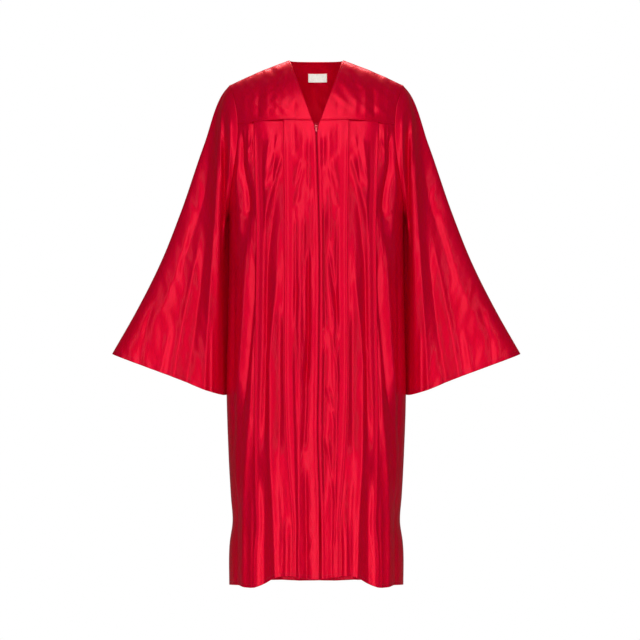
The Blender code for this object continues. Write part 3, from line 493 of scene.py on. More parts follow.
# Folds of the back: the same, but the first number is the way round from the centre line
BACK_FOLDS = (
    (((0, -160), (3, -780), (5, -1400)), 15, 9.0),
    (((42, -175), (46, -780), (50, -1400)), 13, -9.0),
    (((82, -160), (88, -780), (96, -1400)), 15, 11.0),
    (((118, -190), (128, -780), (138, -1400)), 13, -10.0),
    (((150, -170), (164, -780), (180, -1400)), 14, 11.0),
    (((186, -230), (200, -780), (216, -1400)), 12, -9.0),
    (((224, -330), (236, -780), (248, -1400)), 13, 9.0),
    (((-38, -160), (-41, -780), (-45, -1400)), 13, -8.0),
    (((-76, -170), (-84, -780), (-88, -1400)), 15, 12.0),
    (((-114, -180), (-124, -780), (-131, -1400)), 13, -9.0),
    (((-150, -165), (-160, -780), (-172, -1400)), 14, 10.0),
    (((-184, -240), (-198, -780), (-212, -1400)), 12, -10.0),
    (((-222, -320), (-232, -780), (-245, -1400)), 13, 9.0),
    (((20, -155), (21, -330)), 5, 3.0),
    (((62, -155), (60, -400)), 5, 3.0),
    (((104, -150), (106, -360)), 5, 3.0),
    (((-20, -155), (-22, -380)), 5, 3.0),
    (((-58, -155), (-56, -330)), 5, 3.0),
    (((-96, -150), (-100, -420)), 5, 3.0),
    (((24, -620), (12, -760)), 6, -3.5),
    (((70, -900), (58, -1060)), 6, 3.0),
    (((-30, -520), (-18, -640)), 6, 3.0),
    (((-64, -800), (-76, -980)), 6, -3.5),
    (((142, -480), (152, -640)), 6, 3.5),
    (((-140, -640), (-150, -860)), 6, 3.5),
)
FOLD_ENDS = 0.2  # share of its length over which a fold grows and fades
CREST = 1.35  # 2 is a soft bell, less is a sharper crest
RIPPLE_WAVES = 14
# Each row: the pitch, how much longer than wide, and the size of one sort of wrinkle
FRONT_WRINKLES = ((26.0, 4.0, 0.15), (9.0, 3.0, 0.03))
BACK_WRINKLES = ((30.0, 5.0, 0.25), (10.0, 4.0, 0.05))
FRONT_YOKE_WRINKLES, BACK_YOKE_WRINKLES = ((34.0, 1.6, 0.35),), ((44.0, 1.4, 0.5),)
SLEEVE_WRINKLES = ((24.0, 5.0, 0.2),)


def lift_of(folds, across, height):
    """How far the folds of a table lift the cloth off the smooth form."""
    lift = np.zeros(np.broadcast(across, height).shape)
    for path, widths, rise in folds:
        top, bottom = path[0][1], path[-1][1]
        fade = (top - bottom) * FOLD_ENDS
        at = curve([(down, side) for side, down in path], 1, height)
        shown = ease(top, top - fade, height) * ease(bottom, bottom + fade, height)
        before, after = widths if isinstance(widths, tuple) else (widths, widths)
        width = np.where(across < at, before, after)
        lift = lift + rise * shown * np.exp(-(np.abs((across - at) / width) ** CREST))
    return lift


def ripples(across, height, pitch, stretch):
    """Small uneven wrinkles of about that pitch, stretched along the height, from -1 to 1."""
    total = np.zeros(np.broadcast(across, height).shape)
    for _ in range(RIPPLE_WAVES):
        turn = rng.normal(0.0, 1.0)
        speed = 2 * math.pi / (pitch * rng.uniform(0.7, 1.6))
        total = total + np.sin(across * speed + height * speed * turn / stretch + rng.uniform(0, 6.28))
    return total / math.sqrt(RIPPLE_WAVES / 2)


def wrinkled(lift, across, height, kinds):
    """The lift with small wrinkles on it. kinds holds a pitch, a stretch and a size for each sort."""
    for pitch, stretch, size in kinds:
        lift = lift + ripples(across, height, pitch, stretch) * size
    return lift


# %% [markdown]
# ## Cloth from rows of points
#
# Each panel is a sheet of points, row by row. A helper turns the sheet into a mesh, turns up
# the hem on its inside, writes the UV map in metres of cloth, and gives it a real thickness.

# %% Sheets
CLOTH_THICKNESS, HEM_INSET = 0.45, 0.9  # millimetres, as all lengths of the cloth
SEAM_ROWS, HEM_TURN_ROWS, FINE_ROWS = 3, 5, 16


def unit(vector):
    return vector / np.maximum(np.linalg.norm(vector, axis=-1, keepdims=True), 1e-9)


def directions(grid, closed=False):
    """The direction out of the sheet at each point."""
    if closed:
        wide = np.concatenate([grid[:, -1:], grid, grid[:, :1]], 1)
        across = (wide[:, 2:] - wide[:, :-2]) / 2
    else:
        across = np.gradient(grid, axis=1)
    return unit(np.cross(np.gradient(grid, axis=0), across))


def running_sum(steps):
    """0, the first step, the first two steps together, and so on."""
    return np.concatenate([[0.0], np.cumsum(steps)])


def cloth_uv(grid):
    """Metres along the cloth, across from the first column and down from the first row."""
    across = running_sum(np.linalg.norm(np.diff(grid, axis=1), axis=-1).mean(0))
    down = running_sum(np.linalg.norm(np.diff(grid, axis=0), axis=-1).mean(1))
    return np.stack(np.broadcast_arrays(across[None, :], -down[:, None]), -1) * MM


def under_seam(grid, rise, inset, closed, sign):
    """The sheet with a seam allowance above its first row, which lies inside the next panel."""
    outward = sign * directions(grid, closed)[0]
    up = unit(grid[0] - grid[3])
    more = [grid[0] + up * rise * share - outward * inset * min(1.0, share * 2)
            for share in np.linspace(1.0, 0.15, SEAM_ROWS)]
    return np.concatenate([np.array(more), grid], 0)


def turned_up(grid, width, closed, sign):
    """The sheet with its lowest edge turned up inside by that width."""
    outward = sign * directions(grid, closed)[-1]
    up = unit(grid[-2] - grid[-1])
    more = [grid[-1] - outward * HEM_INSET * 0.5 - up * 0.25]
    for share in np.linspace(0.04, 1.0, HEM_TURN_ROWS):
        more.append(grid[-1] + up * width * share - outward * HEM_INSET)
    return np.concatenate([grid, np.array(more)], 0)


def sheet_area(grid, closed=False):
    """The area of a sheet, in square metres."""
    if closed:
        grid = np.concatenate([grid, grid[:, :1]], 1)
    first = grid[1:, 1:] - grid[:-1, :-1]
    second = grid[1:, :-1] - grid[:-1, 1:]
    return float(np.linalg.norm(np.cross(first, second), axis=-1).sum() / 2) * MM * MM


HANDS = ((1, "left"), (-1, "right"))  # the wearer's left is at the right of the picture


def mesh_piece(name, points, faces, material):
    """A smooth mesh that stays with the gown, from points in millimetres."""
    mesh = bpy.data.meshes.new(name)
    mesh.from_pydata((points * MM).tolist(), [], faces)
    mesh.polygons.foreach_set("use_smooth", np.ones(len(mesh.polygons), bool))
    mesh.materials.append(material)
    item = bpy.data.objects.new(name, mesh)
    bpy.context.scene.collection.objects.link(item)
    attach(item, "gown")
    return item


def sheet_piece(name, grid, node, material, closed=False, flip=False, hem=None, allowance=None):
    """A thin cloth on the form of one node. flip is for columns that run to the right from outside."""
    sign = 1 if flip else -1
    if hem:
        grid = turned_up(grid, hem, closed, sign)
    if allowance:
        grid = under_seam(grid, *allowance, closed, sign)
    uv = cloth_uv(grid)
    rows, columns = grid.shape[:2]
    row, column = np.meshgrid(np.arange(rows - 1), np.arange(columns if closed else columns - 1),
                              indexing="ij")
    after = (column + 1) % columns
    corners = np.stack([row * columns + column, row * columns + after,
                        (row + 1) * columns + after, (row + 1) * columns + column], -1)
    wide = np.concatenate([uv, uv[:, -1:] + (uv[:, -1:] - uv[:, -2:-1])], 1)
    corner_uv = np.stack([wide[row, column], wide[row, column + 1],
                          wide[row + 1, column + 1], wide[row + 1, column]], -2)
    corners = corners.reshape(-1, 4)
    corner_uv = corner_uv.reshape(-1, 4, 2)
    if flip:
        corners, corner_uv = corners[:, ::-1], corner_uv[:, ::-1]
    item = mesh_piece(name, grid.reshape(-1, 3), corners.tolist(), material)
    layer = item.data.uv_layers.new(name="cloth")
    layer.uv.foreach_set("vector", np.ascontiguousarray(corner_uv, dtype=np.float32).ravel())
    thicken = item.modifiers.new("thickness", "SOLIDIFY")
    thicken.thickness = CLOTH_THICKNESS * MM
    thicken.offset = 0.0
    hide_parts(node)
    area = sheet_area(grid, closed)
    print("%s: %d quads, %.3f square metres" % (name, len(corners), area))
    return item, area


# %% [markdown]
# ## The fronts
#
# A front runs from the zip to the side seam, with two pressed pleats. At a pleat the cloth
# turns back under itself and forward again, so three layers lie on each other. The columns of
# the sheet follow that turn, which gives the crisp edge that a bump map could never cast.

# %% The fronts' measures
SEAM_GAP = 0.35
# Columns: way round, height
FRONT_SEAM = ((0, -127.3), (25, -127.3), (77, -125.6), (150, -129.8), (158, -132.6), (200, -133.8))
FRONT_HEM = ((0, -1226), (105, -1226), (128, -1238), (150, -1248), (215, -1250), (295, -1259))
BACK_SEAM_HEIGHT, BACK_HEM_HEIGHT, SIDE_HEM_HEIGHT = -150.0, -1271.0, -1259.0
# Columns: height, the way round to the meeting line, half of the gap
CENTRE = (
    (-120, 0.0, 9.9), (-129, 0.0, 8.6), (-139, 0.0, 4.3), (-149, 0.0, 3.2), (-156, 0.2, 0.7),
    (-450, 8.0, 0.5), (-700, 6.0, 0.5), (-900, 4.0, 0.5), (-1040, 9.0, 0.8), (-1100, 10.0, 2.2),
    (-1275, 10.0, 2.4),
)
# Columns: height, the inner pleat's fold, the outer pleat's fold
PLEATS = (
    (-120, 76.5, 150), (-440, 76.0, 150), (-800, 73.4, 151), (-920, 70.0, 153),
    (-1090, 60.0, 157), (-1275, 57.0, 158),
)
INNER, OUTER = 1, 2
TUCK_AT_TOP, TUCK_AT_HEM, TUCK_ROUND = 15.0, 4.0, 1.1
LAYERS_AT_TOP, LAYERS_AT_HEM = 2.5, 1.3  # the distance from layer to layer
TUCK_NARROWS = {INNER: (-860, -1160), OUTER: (-640, -1000)}
FRONT_ROWS, BACK_ROWS, BACK_COLUMNS = 196, 180, 206
CENTRE_COLUMNS, PANEL_COLUMNS, SIDE_COLUMNS = 34, 40, 62
SEAM_CALM, SIDE_CALM = 38.0, 22.0  # folds fade out this near to a seam
SEAM_ROLL, SEAM_ROLL_WIDTH = 0.4, 2.4  # the cloth dips into its seams
EDGE_LIFT, EDGE_WIDTH = 2.4, 4.0  # a pleat's edge stands a little proud
ZIP_CALM = (4.0, 13.0)
ZIP_EDGE_LIFT, ZIP_EDGE_PLACE, ZIP_EDGE_WIDTH = 0.9, 6.0, 3.0
HEM, HEM_STITCHES = 9.0, 7.8  # the turned-up width, and how far up it is stitched


def pleat(which, height):
    """The fold, the width of the tuck and the distance between its layers at a height."""
    narrow = ease(*TUCK_NARROWS[which], height)
    tuck = TUCK_AT_TOP + (TUCK_AT_HEM - TUCK_AT_TOP) * narrow
    pitch = LAYERS_AT_TOP + (LAYERS_AT_HEM - LAYERS_AT_TOP) * narrow
    return curve(PLEATS, which, height), tuck, pitch


def tuck_turns():
    """The turns of a tucked layer: (part of the tuck's width, part of its rounding, layers down)."""
    first = [(0.0, math.sin(a) - 1, (1 - math.cos(a)) / 2) for a in np.linspace(0.25, math.pi, 6)]
    under = [(share, -1.0, 1.0) for share in (0.35, 0.7)]
    second = [(1.0, 1 - math.sin(a), 1 + (1 - math.cos(a)) / 2) for a in np.linspace(0, math.pi, 7)]
    return first + under + second


def down_shares(rows, fine=0.016):
    """Shares of the way down, with close rows at the hem, where it is stitched."""
    return np.concatenate([np.linspace(0, 1 - fine, rows), np.linspace(1 - fine, 1, FINE_ROWS)[1:]])


def front_columns():
    """Each column of a front from the zip to its edge, as (part, place)."""
    columns = [("centre", place) for place in np.linspace(0, 1, CENTRE_COLUMNS)]
    columns += [("inner", turn) for turn in tuck_turns()]
    columns += [("panel", place) for place in np.linspace(0.03, 1, PANEL_COLUMNS)]
    columns += [("outer", turn) for turn in tuck_turns()]
    return columns + [("side", place) for place in np.linspace(0.02, 1, SIDE_COLUMNS)]


def turn_place(turn, fold, tuck, pitch):
    """The way round and the lift of one turn of the tucked cloth."""
    width, rounding, layers = turn
    return fold - width * (tuck - TUCK_ROUND) + rounding * TUCK_ROUND, -pitch * layers


def column_place(side, part, place, height):
    """The way round and the lift under the pleats of one column, all the way down."""
    start = curve(CENTRE, 1, height) * side + straight(CENTRE, 2, height)
    inner, outer = pleat(INNER, height), pleat(OUTER, height)
    proud = EDGE_LIFT * ease(-128.0, -190.0, height)
    if part == "centre":
        way = start + (inner[0] - TUCK_ROUND - start) * place
        return way, proud * bell(way - inner[0] + TUCK_ROUND, EDGE_WIDTH)
    if part in ("inner", "outer"):
        way, lift = turn_place(place, *(inner if part == "inner" else outer))
        return way, lift + proud * max(0.0, 1.0 - place[2])
    if part == "panel":
        begin, under = turn_place(tuck_turns()[-1], *inner)
        way = begin + (outer[0] - TUCK_ROUND - begin) * place
        edge = proud * bell(way - outer[0] + TUCK_ROUND, EDGE_WIDTH)
        return way, under * (1 - ease(0.2, 0.85, place)) + edge
    begin, under = turn_place(tuck_turns()[-1], *outer)
    edge = body_edge(-1, height)[0]
    return begin + (edge - begin) * place, under * (1 - ease(0.12, 0.5, place))


def pleat_calm(way, height):
    """0 where the cloth lies folded under a pleat, and 1 elsewhere."""
    calm = 1.0
    for which in (INNER, OUTER):
        fold, tuck, _ = pleat(which, height)
        under = ease(fold - tuck - 12.0, fold - tuck - 4.0, way) * ease(fold + 9.0, fold + 4.0, way)
        calm = calm * (1 - under)
    return calm


def on_body(face, way, height, lift, top):
    """Points of the body's cloth, its folds calmed at the seam above and at its edge."""
    points, outward, edge = drawn_tube(face, way, height)
    to_edge = edge - np.abs(way)
    calm = ease(0.0, SEAM_CALM, top - height) * ease(0.0, SIDE_CALM, to_edge)
    seam = bell(top - height, SEAM_ROLL_WIDTH) + bell(to_edge, SEAM_ROLL_WIDTH)
    return points + outward * (lift * calm - SEAM_ROLL * np.minimum(seam, 1.0))[..., None]


def hem_height(face, way):
    if face < 0:
        return curve(FRONT_HEM, 1, way)
    share = ease(0.0, GIRTH, np.abs(way))
    return BACK_HEM_HEIGHT + (SIDE_HEM_HEIGHT - BACK_HEM_HEIGHT) * share


def front_grid(side):
    shares = down_shares(FRONT_ROWS)
    own = LEFT_FRONT_FOLDS if side > 0 else RIGHT_FRONT_FOLDS
    columns = []
    for part, place in front_columns():
        seam_way = column_place(side, part, place, np.array(-130.0))[0]
        hem_way = column_place(side, part, place, np.array(SIDE_HEM_HEIGHT))[0]
        top = straight(FRONT_SEAM, 1, seam_way) - SEAM_GAP
        height = top + (hem_height(-1, hem_way) - top) * shares
        way, tucked = column_place(side, part, place, height)
        columns.append((way, height, tucked, np.full(len(height), top)))
    way, height, tucked, top = (np.stack(rows, 1) for rows in zip(*columns))
    across = tube(-1, way, height)[0][..., 0]
    lift = lift_of(SHARED_FOLDS + THIN_RIDGES + own, across, height)
    lift = wrinkled(lift, way, height, FRONT_WRINKLES)
    from_zip = way - side * curve(CENTRE, 1, height)
    lift = lift * ease(*ZIP_CALM, from_zip) * pleat_calm(way, height)
    lift = lift + ZIP_EDGE_LIFT * bell(from_zip - ZIP_EDGE_PLACE, ZIP_EDGE_WIDTH)
    points = on_body(-1, way, height, lift, top)
    points = points + tube(-1, way, height)[1] * tucked[..., None]
    return points * (side, 1, 1)


fronts = {}
for side, hand in HANDS:
    fronts[hand] = front_grid(side)
    cloth, area = sheet_piece("front_" + hand + "_cloth", fronts[hand], "front_" + hand, SATIN,
                              flip=side > 0, hem=HEM, allowance=(5.0, 1.0))
    "front_yoke_" + hand


# %% [markdown]
# ## The back
#
# The back hangs full from the back yoke, in rounded folds that grow on the way down.

# %% Fold the back
LIFT_AT_TOP = 0.45  # share of their lift that the folds have at the yoke


def back_seam_height(way):
    corner = armhole(CORNER_SHARE, 1)[2]
    edge = body_edge(1, corner)[0]
    return BACK_SEAM_HEIGHT + (corner - BACK_SEAM_HEIGHT) * (np.abs(way) / edge) ** 2


def back_grid():
    corner_way = body_edge(1, armhole(CORNER_SHARE, 1)[2])[0]
    place = np.linspace(-1, 1, BACK_COLUMNS)[None, :]
    share = down_shares(BACK_ROWS)[:, None]
    top = back_seam_height(place * corner_way) - SEAM_GAP
    height = top + (hem_height(1, place * GIRTH) - top) * share
    way = place * body_edge(1, height)[0]
    lift = lift_of(BACK_FOLDS, way, height) * (LIFT_AT_TOP + (1 - LIFT_AT_TOP) * share)
    lift = wrinkled(lift, way, height, BACK_WRINKLES)
    return on_body(1, way, height, lift, top + 0 * height)


back = back_grid()
back_cloth, back_area = sheet_piece("back_cloth", back, "back", SATIN, hem=HEM, allowance=(5.0, 1.0))

# %% [markdown]
# ## The yokes
#
# The yokes lie smooth over the shoulders. Each one is a patch between four edges: the shoulder
# seam, the neck, the armhole and its lower seam.

# %% The yokes' measures
NECK_HALF_WIDTH, NECK_HEIGHT, BACK_NECK_DEPTH, BACK_NECK_RISE = 66.0, 29.4, 52.0, 2.6
SHOULDER_CROWN, V_HALF_WIDTH, NECK_SHARE = 2.5, 9.6, 0.36
V_PROFILE = ((0.0, 29.4), (38.0, 29.0), (98.0, -40.0), (111.0, -127.3))
# Each row: the path as (across, height), half width, lift
YOKE_FOLDS = (
    (((80, 5), (92, -25), (108, -58)), 6, -1.6),
    (((139, -40), (140, -95), (141, -150)), 8, -2.2),
    (((52, -75), (52, -150)), 7, -1.8),
    (((96, -60), (97, -150)), 9, 1.2),
    (((118, -20), (119, -150)), 10, 1.6),
    (((176, -30), (172, -90), (166, -150)), 9, 1.2),
)


def bezier(points, share):
    points = np.array(points, float)
    share = np.asarray(share, float)[..., None]
    rest = 1 - share
    ends = rest**3 * points[0] + share**3 * points[3]
    return ends + 3 * rest**2 * share * points[1] + 3 * rest * share**2 * points[2]


def shoulder_seam(share):
    share = np.asarray(share, float)
    tip = armhole(1.0, -1)
    across = NECK_HALF_WIDTH + (tip[0] - NECK_HALF_WIDTH) * share
    height = NECK_HEIGHT + (tip[2] - NECK_HEIGHT) * share + SHOULDER_CROWN * np.sin(math.pi * share)
    return np.stack([across, 0 * share, height], -1)


def v_edge(share):
    profile = bezier(V_PROFILE, share)
    drop = (NECK_HEIGHT - profile[..., 1]) / (NECK_HEIGHT - V_PROFILE[-1][1])
    across = NECK_HALF_WIDTH + (V_HALF_WIDTH - NECK_HALF_WIDTH) * drop
    return np.stack([across, -profile[..., 0], profile[..., 1]], -1)


def yoke_foot(face, share):
    corner = body_edge(face, armhole(CORNER_SHARE, face)[2])[0]
    start = V_HALF_WIDTH if face < 0 else 0.0
    way = start + (corner - start) * np.asarray(share, float)
    height = straight(FRONT_SEAM, 1, way) if face < 0 else back_seam_height(way)
    return drawn_tube(face, way, height)[0]


def back_neck(share):
    """The back yoke's upper edge, from the right shoulder tip over the neck to the left one."""
    share = np.asarray(share, float)
    turn = np.clip(share / NECK_SHARE, -1, 1) * math.pi / 2
    neck = np.stack([NECK_HALF_WIDTH * np.sin(turn), BACK_NECK_DEPTH * np.cos(turn) ** 0.9,
                     NECK_HEIGHT + BACK_NECK_RISE * np.cos(turn) ** 2], -1)
    seam = shoulder_seam(np.clip((np.abs(share) - NECK_SHARE) / (1 - NECK_SHARE), 0, 1))
    seam = seam * np.stack([np.sign(share), 1 + 0 * share, 1 + 0 * share], -1)
    return np.where((np.abs(share) <= NECK_SHARE)[..., None], neck, seam)


def patch(top, foot, left, right, across, down):
    """A smooth sheet between four edges."""
    u, v = across[None, :, None], down[:, None, None]
    ruled = (1 - v) * top[None] + v * foot[None] + (1 - u) * left[:, None] + u * right[:, None]
    corners = (1 - u) * (1 - v) * top[0] + u * (1 - v) * top[-1]
    return ruled - corners - (1 - u) * v * foot[0] - u * v * foot[-1]


def soften(sheet, down, start, end, rounds):
    """Lets the form of the upper edge fade on the way down, as cloth does below a corner."""
    weight = 0.5 * ease(start, end, down)[:, None, None]
    sheet = sheet.copy()
    for _ in range(rounds):
        bend = sheet[:, :-2] + sheet[:, 2:] - 2 * sheet[:, 1:-1]
        sheet[:, 1:-1] += weight * bend
    return sheet


# %% Lay the yokes
FRONT_YOKE_COLUMNS, BACK_YOKE_ROWS = 84, 60
EDGE_ROLL, EDGE_ROLL_WIDTH = 0.9, 3.2  # the yoke's lower edge stands proud over the seam


def front_yoke_grid():
    across = np.linspace(0, 1, FRONT_YOKE_COLUMNS)
    down = np.concatenate([np.linspace(0, 0.94, 52), np.linspace(0.94, 1, 12)[1:]])
    hole = armhole(1 - (1 - CORNER_SHARE) * down, -1)
    sheet = patch(shoulder_seam(across), yoke_foot(-1, across), v_edge(down), hole, across, down)
    outward = directions(sheet)
    lift = lift_of(YOKE_FOLDS, sheet[..., 0], sheet[..., 2])
    lift = wrinkled(lift, sheet[..., 0], sheet[..., 2], FRONT_YOKE_WRINKLES)
    middle = np.sin(np.pi * across)[None, :] * np.sin(np.pi * down)[:, None]
    sheet = sheet + outward * (lift * np.minimum(middle * 3, 1.0))[..., None]
    above_foot = np.linalg.norm(sheet - sheet[-1:], axis=-1)
    sheet = sheet + outward * (EDGE_ROLL * bell(above_foot, EDGE_ROLL_WIDTH))[..., None]
    sheet[0, :, 1] -= SEAM_GAP
    return sheet


def back_yoke_grid():
    half = np.concatenate([np.linspace(0, NECK_SHARE, 40), np.linspace(NECK_SHARE, 1, 52)[1:]])
    place = np.concatenate([-half[:0:-1], half])
    down = np.linspace(0, 1, BACK_YOKE_ROWS)
    hole = armhole(1 - (1 - CORNER_SHARE) * down, 1)
    sheet = patch(back_neck(place), yoke_foot(1, place), hole * (-1, 1, 1), hole, (place + 1) / 2, down)
    foot = sheet[-1].copy()
    sheet = soften(sheet, down, 0.0, 0.3, 90)
    sheet += (foot - sheet[-1]) * ease(0.5, 1.0, down)[:, None, None]
    lift = wrinkled(0.0, sheet[..., 0], sheet[..., 2], BACK_YOKE_WRINKLES)
    middle = np.sin(np.pi * (place + 1) / 2)[None, :] * np.sin(np.pi * down)[:, None]
    sheet = sheet + directions(sheet) * (lift * middle)[..., None]
    sheet[0, :, 1] += SEAM_GAP
    return sheet


yokes = {}
for side, hand in HANDS:
    yokes[hand] = front_yoke_grid() * (side, 1, 1)
    cloth, area = sheet_piece("front_yoke_" + hand + "_cloth", yokes[hand], "front_yoke_" + hand,
                              SATIN, flip=side > 0)
back_yoke = back_yoke_grid()
cloth, area = sheet_piece("back_yoke_cloth", back_yoke, "back_yoke", SATIN)

# %% [markdown]
# ## The sleeves
#
# A bell sleeve is a cone of cloth: narrow where it is sewn into the armhole, and very wide at
# the cuff. It hangs from the shoulder, so its outer edge is drawn long and its inner side
# drops straight down beside the body.

# %% The sleeves' measures
# Columns: share of the way down, outer edge's x, outer edge's height
SLEEVE_EDGE = (
    (0.0, 214.0, -33.0), (0.03, 226.0, -47.0), (0.22, 276.0, -178.0), (0.48, 335.0, -349.0),
    (0.66, 382.0, -467.0), (0.84, 441.0, -585.0), (1.0, 501.6, -691.5),
)
SLEEVE_INNER_HEM = (223.5, -793.0)
SLEEVE_DEPTH, SLEEVE_HEM_ROUNDNESS, HANG_POWER, FAN_POWER = 52.0, 3.0, 1.9, 2.3
CAP_BULGE, UNDERARM_BULGE, CAP_RISE, CAP_FADE, INNER_SPREAD = 20.0, 9.0, 0.03, 1.3, 12.0
# Columns: share of the way down, how much nearer to the body the inner side's back half comes
BACK_TUCK_IN = ((0.0, 0.0), (0.01, 5.0), (0.05, 10.0), (0.35, 9.5), (0.7, 7.0), (1.0, 6.0))
SLEEVE_ROWS, SLEEVE_COLUMNS = 132, 96
CROWD_ROWS, CROWD_COLUMNS = 1.25, 1.35  # rows close up at the armhole, columns at the outer edge
# Each row: the path as (across, height), half width, lift
SLEEVE_FRONT_FOLDS = (
    (((238, -60), (240, -176), (246, -330), (252, -432), (260, -560), (268, -700), (276, -1000)), 9, 6.0),
    (((253, -600), (255, -1000)), 4, 3.0),
    (((223, -80), (224, -250), (225, -430), (224, -620), (223, -1000)), 7, -22.0),
    (((209, -90), (210, -220), (211, -370)), 7, 4.0),
    (((232, -85), (233, -190), (229, -290)), 3.5, 3.5),
    (((270, -400), (283, -531), (296, -633), (312, -735), (346, -1000)), 13, -7.0),
    (((276, -370), (296, -471), (312, -553), (326, -620), (340, -700), (381, -1000)), 9, 4.6),
    (((259, -200), (275, -310), (296, -381), (317, -446), (336, -530)), 11, -3.0),
    (((300, -330), (352, -520), (392, -620)), 14, 2.5),
    (((395, -560), (418, -640), (436, -760)), 9, -2.5),
    (((356, -620), (372, -700), (392, -800)), 8, 2.5),
)
SLEEVE_BACK_FOLDS = (
    (((234, -90), (262, -1000)), 13, -9.0),
    (((256, -110), (312, -1000)), 13, 9.0),
    (((274, -240), (372, -1000)), 13, -10.0),
    (((306, -330), (424, -1000)), 12, 8.0),
    (((350, -460), (490, -1000)), 11, -6.0),
)
FOLDS_FROM = {-1: (0.10, 0.25), 1: (0.38, 0.54)}  # before and behind, as shares of the way round
CUFF_HEM, CUFF_STITCHES = 12.0, 10.8


def sleeve_half(face, places, downs):
    """The front or the back of the left sleeve: rows down its length, columns from the underarm."""
    seam = armhole(1 - (1 - places) ** HANG_POWER, face)
    hem_share = places**FAN_POWER
    inner = np.array((SLEEVE_INNER_HEM[0], 0.0, SLEEVE_INNER_HEM[1]))
    outer = np.array((SLEEVE_EDGE[-1][1], 0.0, SLEEVE_EDGE[-1][2]))
    hem = inner + (outer - inner) * hem_share[:, None]
    hem[:, 1] += face * SLEEVE_DEPTH * (
        (1 - np.abs(2 * hem_share - 1) ** SLEEVE_HEM_ROUNDNESS) ** (1 / SLEEVE_HEM_ROUNDNESS))
    down = downs[:, None, None]
    sheet = (1 - down) * seam[None] + down * hem[None]
    line = (1 - downs)[:, None] * seam[-1] + downs[:, None] * outer
    edge = np.stack([curve(SLEEVE_EDGE, 1, downs), 0 * downs, curve(SLEEVE_EDGE, 2, downs)], -1)
    sheet = sheet + (edge - line)[:, None, :] * ease(0.35, 1.0, places)[None, :, None]
    rise = (1 - np.exp(-downs / CAP_RISE)) * (1 - downs) ** CAP_FADE
    out = UNDERARM_BULGE + (CAP_BULGE - UNDERARM_BULGE) * ease(0.0, 0.42, places)
    sheet[..., 0] += rise[:, None] * (out * (1 - ease(0.5, 0.95, places)))[None, :]
    spread = ease(0.05, 0.35, downs)[:, None] * ease(0.75, 0.40, places)[None, :]
    out_of_middle = np.abs(sheet[..., 1]) / SLEEVE_DEPTH
    if face < 0:
        sheet[..., 0] += INNER_SPREAD * spread * out_of_middle
    else:
        near_body = straight(BACK_TUCK_IN, 1, downs)[:, None] * ease(0.75, 0.40, places)[None, :]
        sheet[..., 0] -= near_body * np.sin(math.pi * np.minimum(out_of_middle, 1.0))
    folds = SLEEVE_FRONT_FOLDS if face < 0 else SLEEVE_BACK_FOLDS
    lift = lift_of(folds, sheet[..., 0], sheet[..., 2])
    lift = wrinkled(lift, sheet[..., 0] - sheet[..., 2] * 0.25, sheet[..., 2], SLEEVE_WRINKLES)
    calm = ease(0.0, 0.05, downs)[:, None] * ease(*FOLDS_FROM[face], places)[None, :]
    sheet[..., 1] += face * lift * calm * ease(1.0, 0.93, places)[None, :]
    return sheet


def sleeve_grid():
    places = 1 - (1 - np.linspace(0, 1, SLEEVE_COLUMNS)) ** CROWD_COLUMNS
    downs = down_shares(SLEEVE_ROWS, 0.03) ** CROWD_ROWS
    before, behind = sleeve_half(-1, places, downs), sleeve_half(1, places, downs)
    ring = np.concatenate([before, behind[:, -2:0:-1]], 1)
    ring[0, :, 0] += SEAM_GAP
    return ring


sleeves = {}
for side, hand in HANDS:
    sleeves[hand] = sleeve_grid() * (side, 1, 1)
    cloth, area = sheet_piece("sleeve_" + hand + "_cloth", sleeves[hand], "sleeve_" + hand, SATIN,
                              closed=True, flip=side > 0, hem=CUFF_HEM, allowance=(4.0, 1.5))
    "front_yoke_" + hand

# %% [markdown]
# ## The zip
#
# Under the fronts lies the zip: a woven tape with a row of small nylon teeth. The tape follows
# the line where the fronts meet, so it is a strip of the same tube, a little further in. The
# teeth are all alike, so one tooth is modelled by hand and then copied down the tape, first to
# one side and then to the other, as teeth lock into each other.

# %% Woven tape
TAPE_HALF_WIDTH, TAPE_TOP, TAPE_BOTTOM, TAPE_BEHIND = 12.0, -134.0, -1047.0, 1.55


def woven(name, dark, light, rib, roughness):
    """A matt ribbed weave; rib is the pitch of its ribs in metres."""
    cloth = Finish(name, Roughness=roughness, Specular_IOR_Level=0.12)
    place = cloth.node("UVMap", {"uv_map": "cloth"})
    across, along = cloth.axis(place, 0), cloth.axis(place, 1)
    twill = (across + along).wave(rib) * 0.5 + (across - along).wave(rib) * 0.5
    fuzz = cloth.noise(place, 1800.0, 2.0)
    cloth.into("Base Color", cloth.blend((twill * 0.35 + fuzz * 0.6 + 0.2).clamp(0.0, 1.0), dark, light))
    cloth.bump(twill + fuzz * 0.6, 0.00012)
    return cloth.material


TAPE = woven("red_tape", (0.30, 0.0, 0.006, 1.0), (0.55, 0.0, 0.02, 1.0), 0.0011, 0.75)


def tape_place(height, offset, depth):
    """A point that far behind the cloth of the fronts, beside the meeting line."""
    way = curve(CENTRE, 1, height) + offset
    points, outward = tube(-1, way, height + 0 * way)
    return points - outward * np.asarray(depth)[..., None]


tape_heights = np.linspace(TAPE_TOP, TAPE_BOTTOM, 380)[:, None]
tape_offsets = np.linspace(-TAPE_HALF_WIDTH, TAPE_HALF_WIDTH, 25)[None, :]
selvedge = 0.15 * bell(np.abs(tape_offsets) - TAPE_HALF_WIDTH + 0.8, 0.7)
tape_rows = tape_place(tape_heights, tape_offsets + 0 * tape_heights, TAPE_BEHIND - selvedge)
tape, tape_area = sheet_piece("zip_tape_cloth", tape_rows, "zip_tape", TAPE, flip=True)


# %% One tooth, modelled by hand
def start_model(add, **values):
    """Adds a primitive with nothing else selected, and returns its object."""
    bpy.ops.object.select_all(action="DESELECT")
    add(**values)
    return bpy.context.object


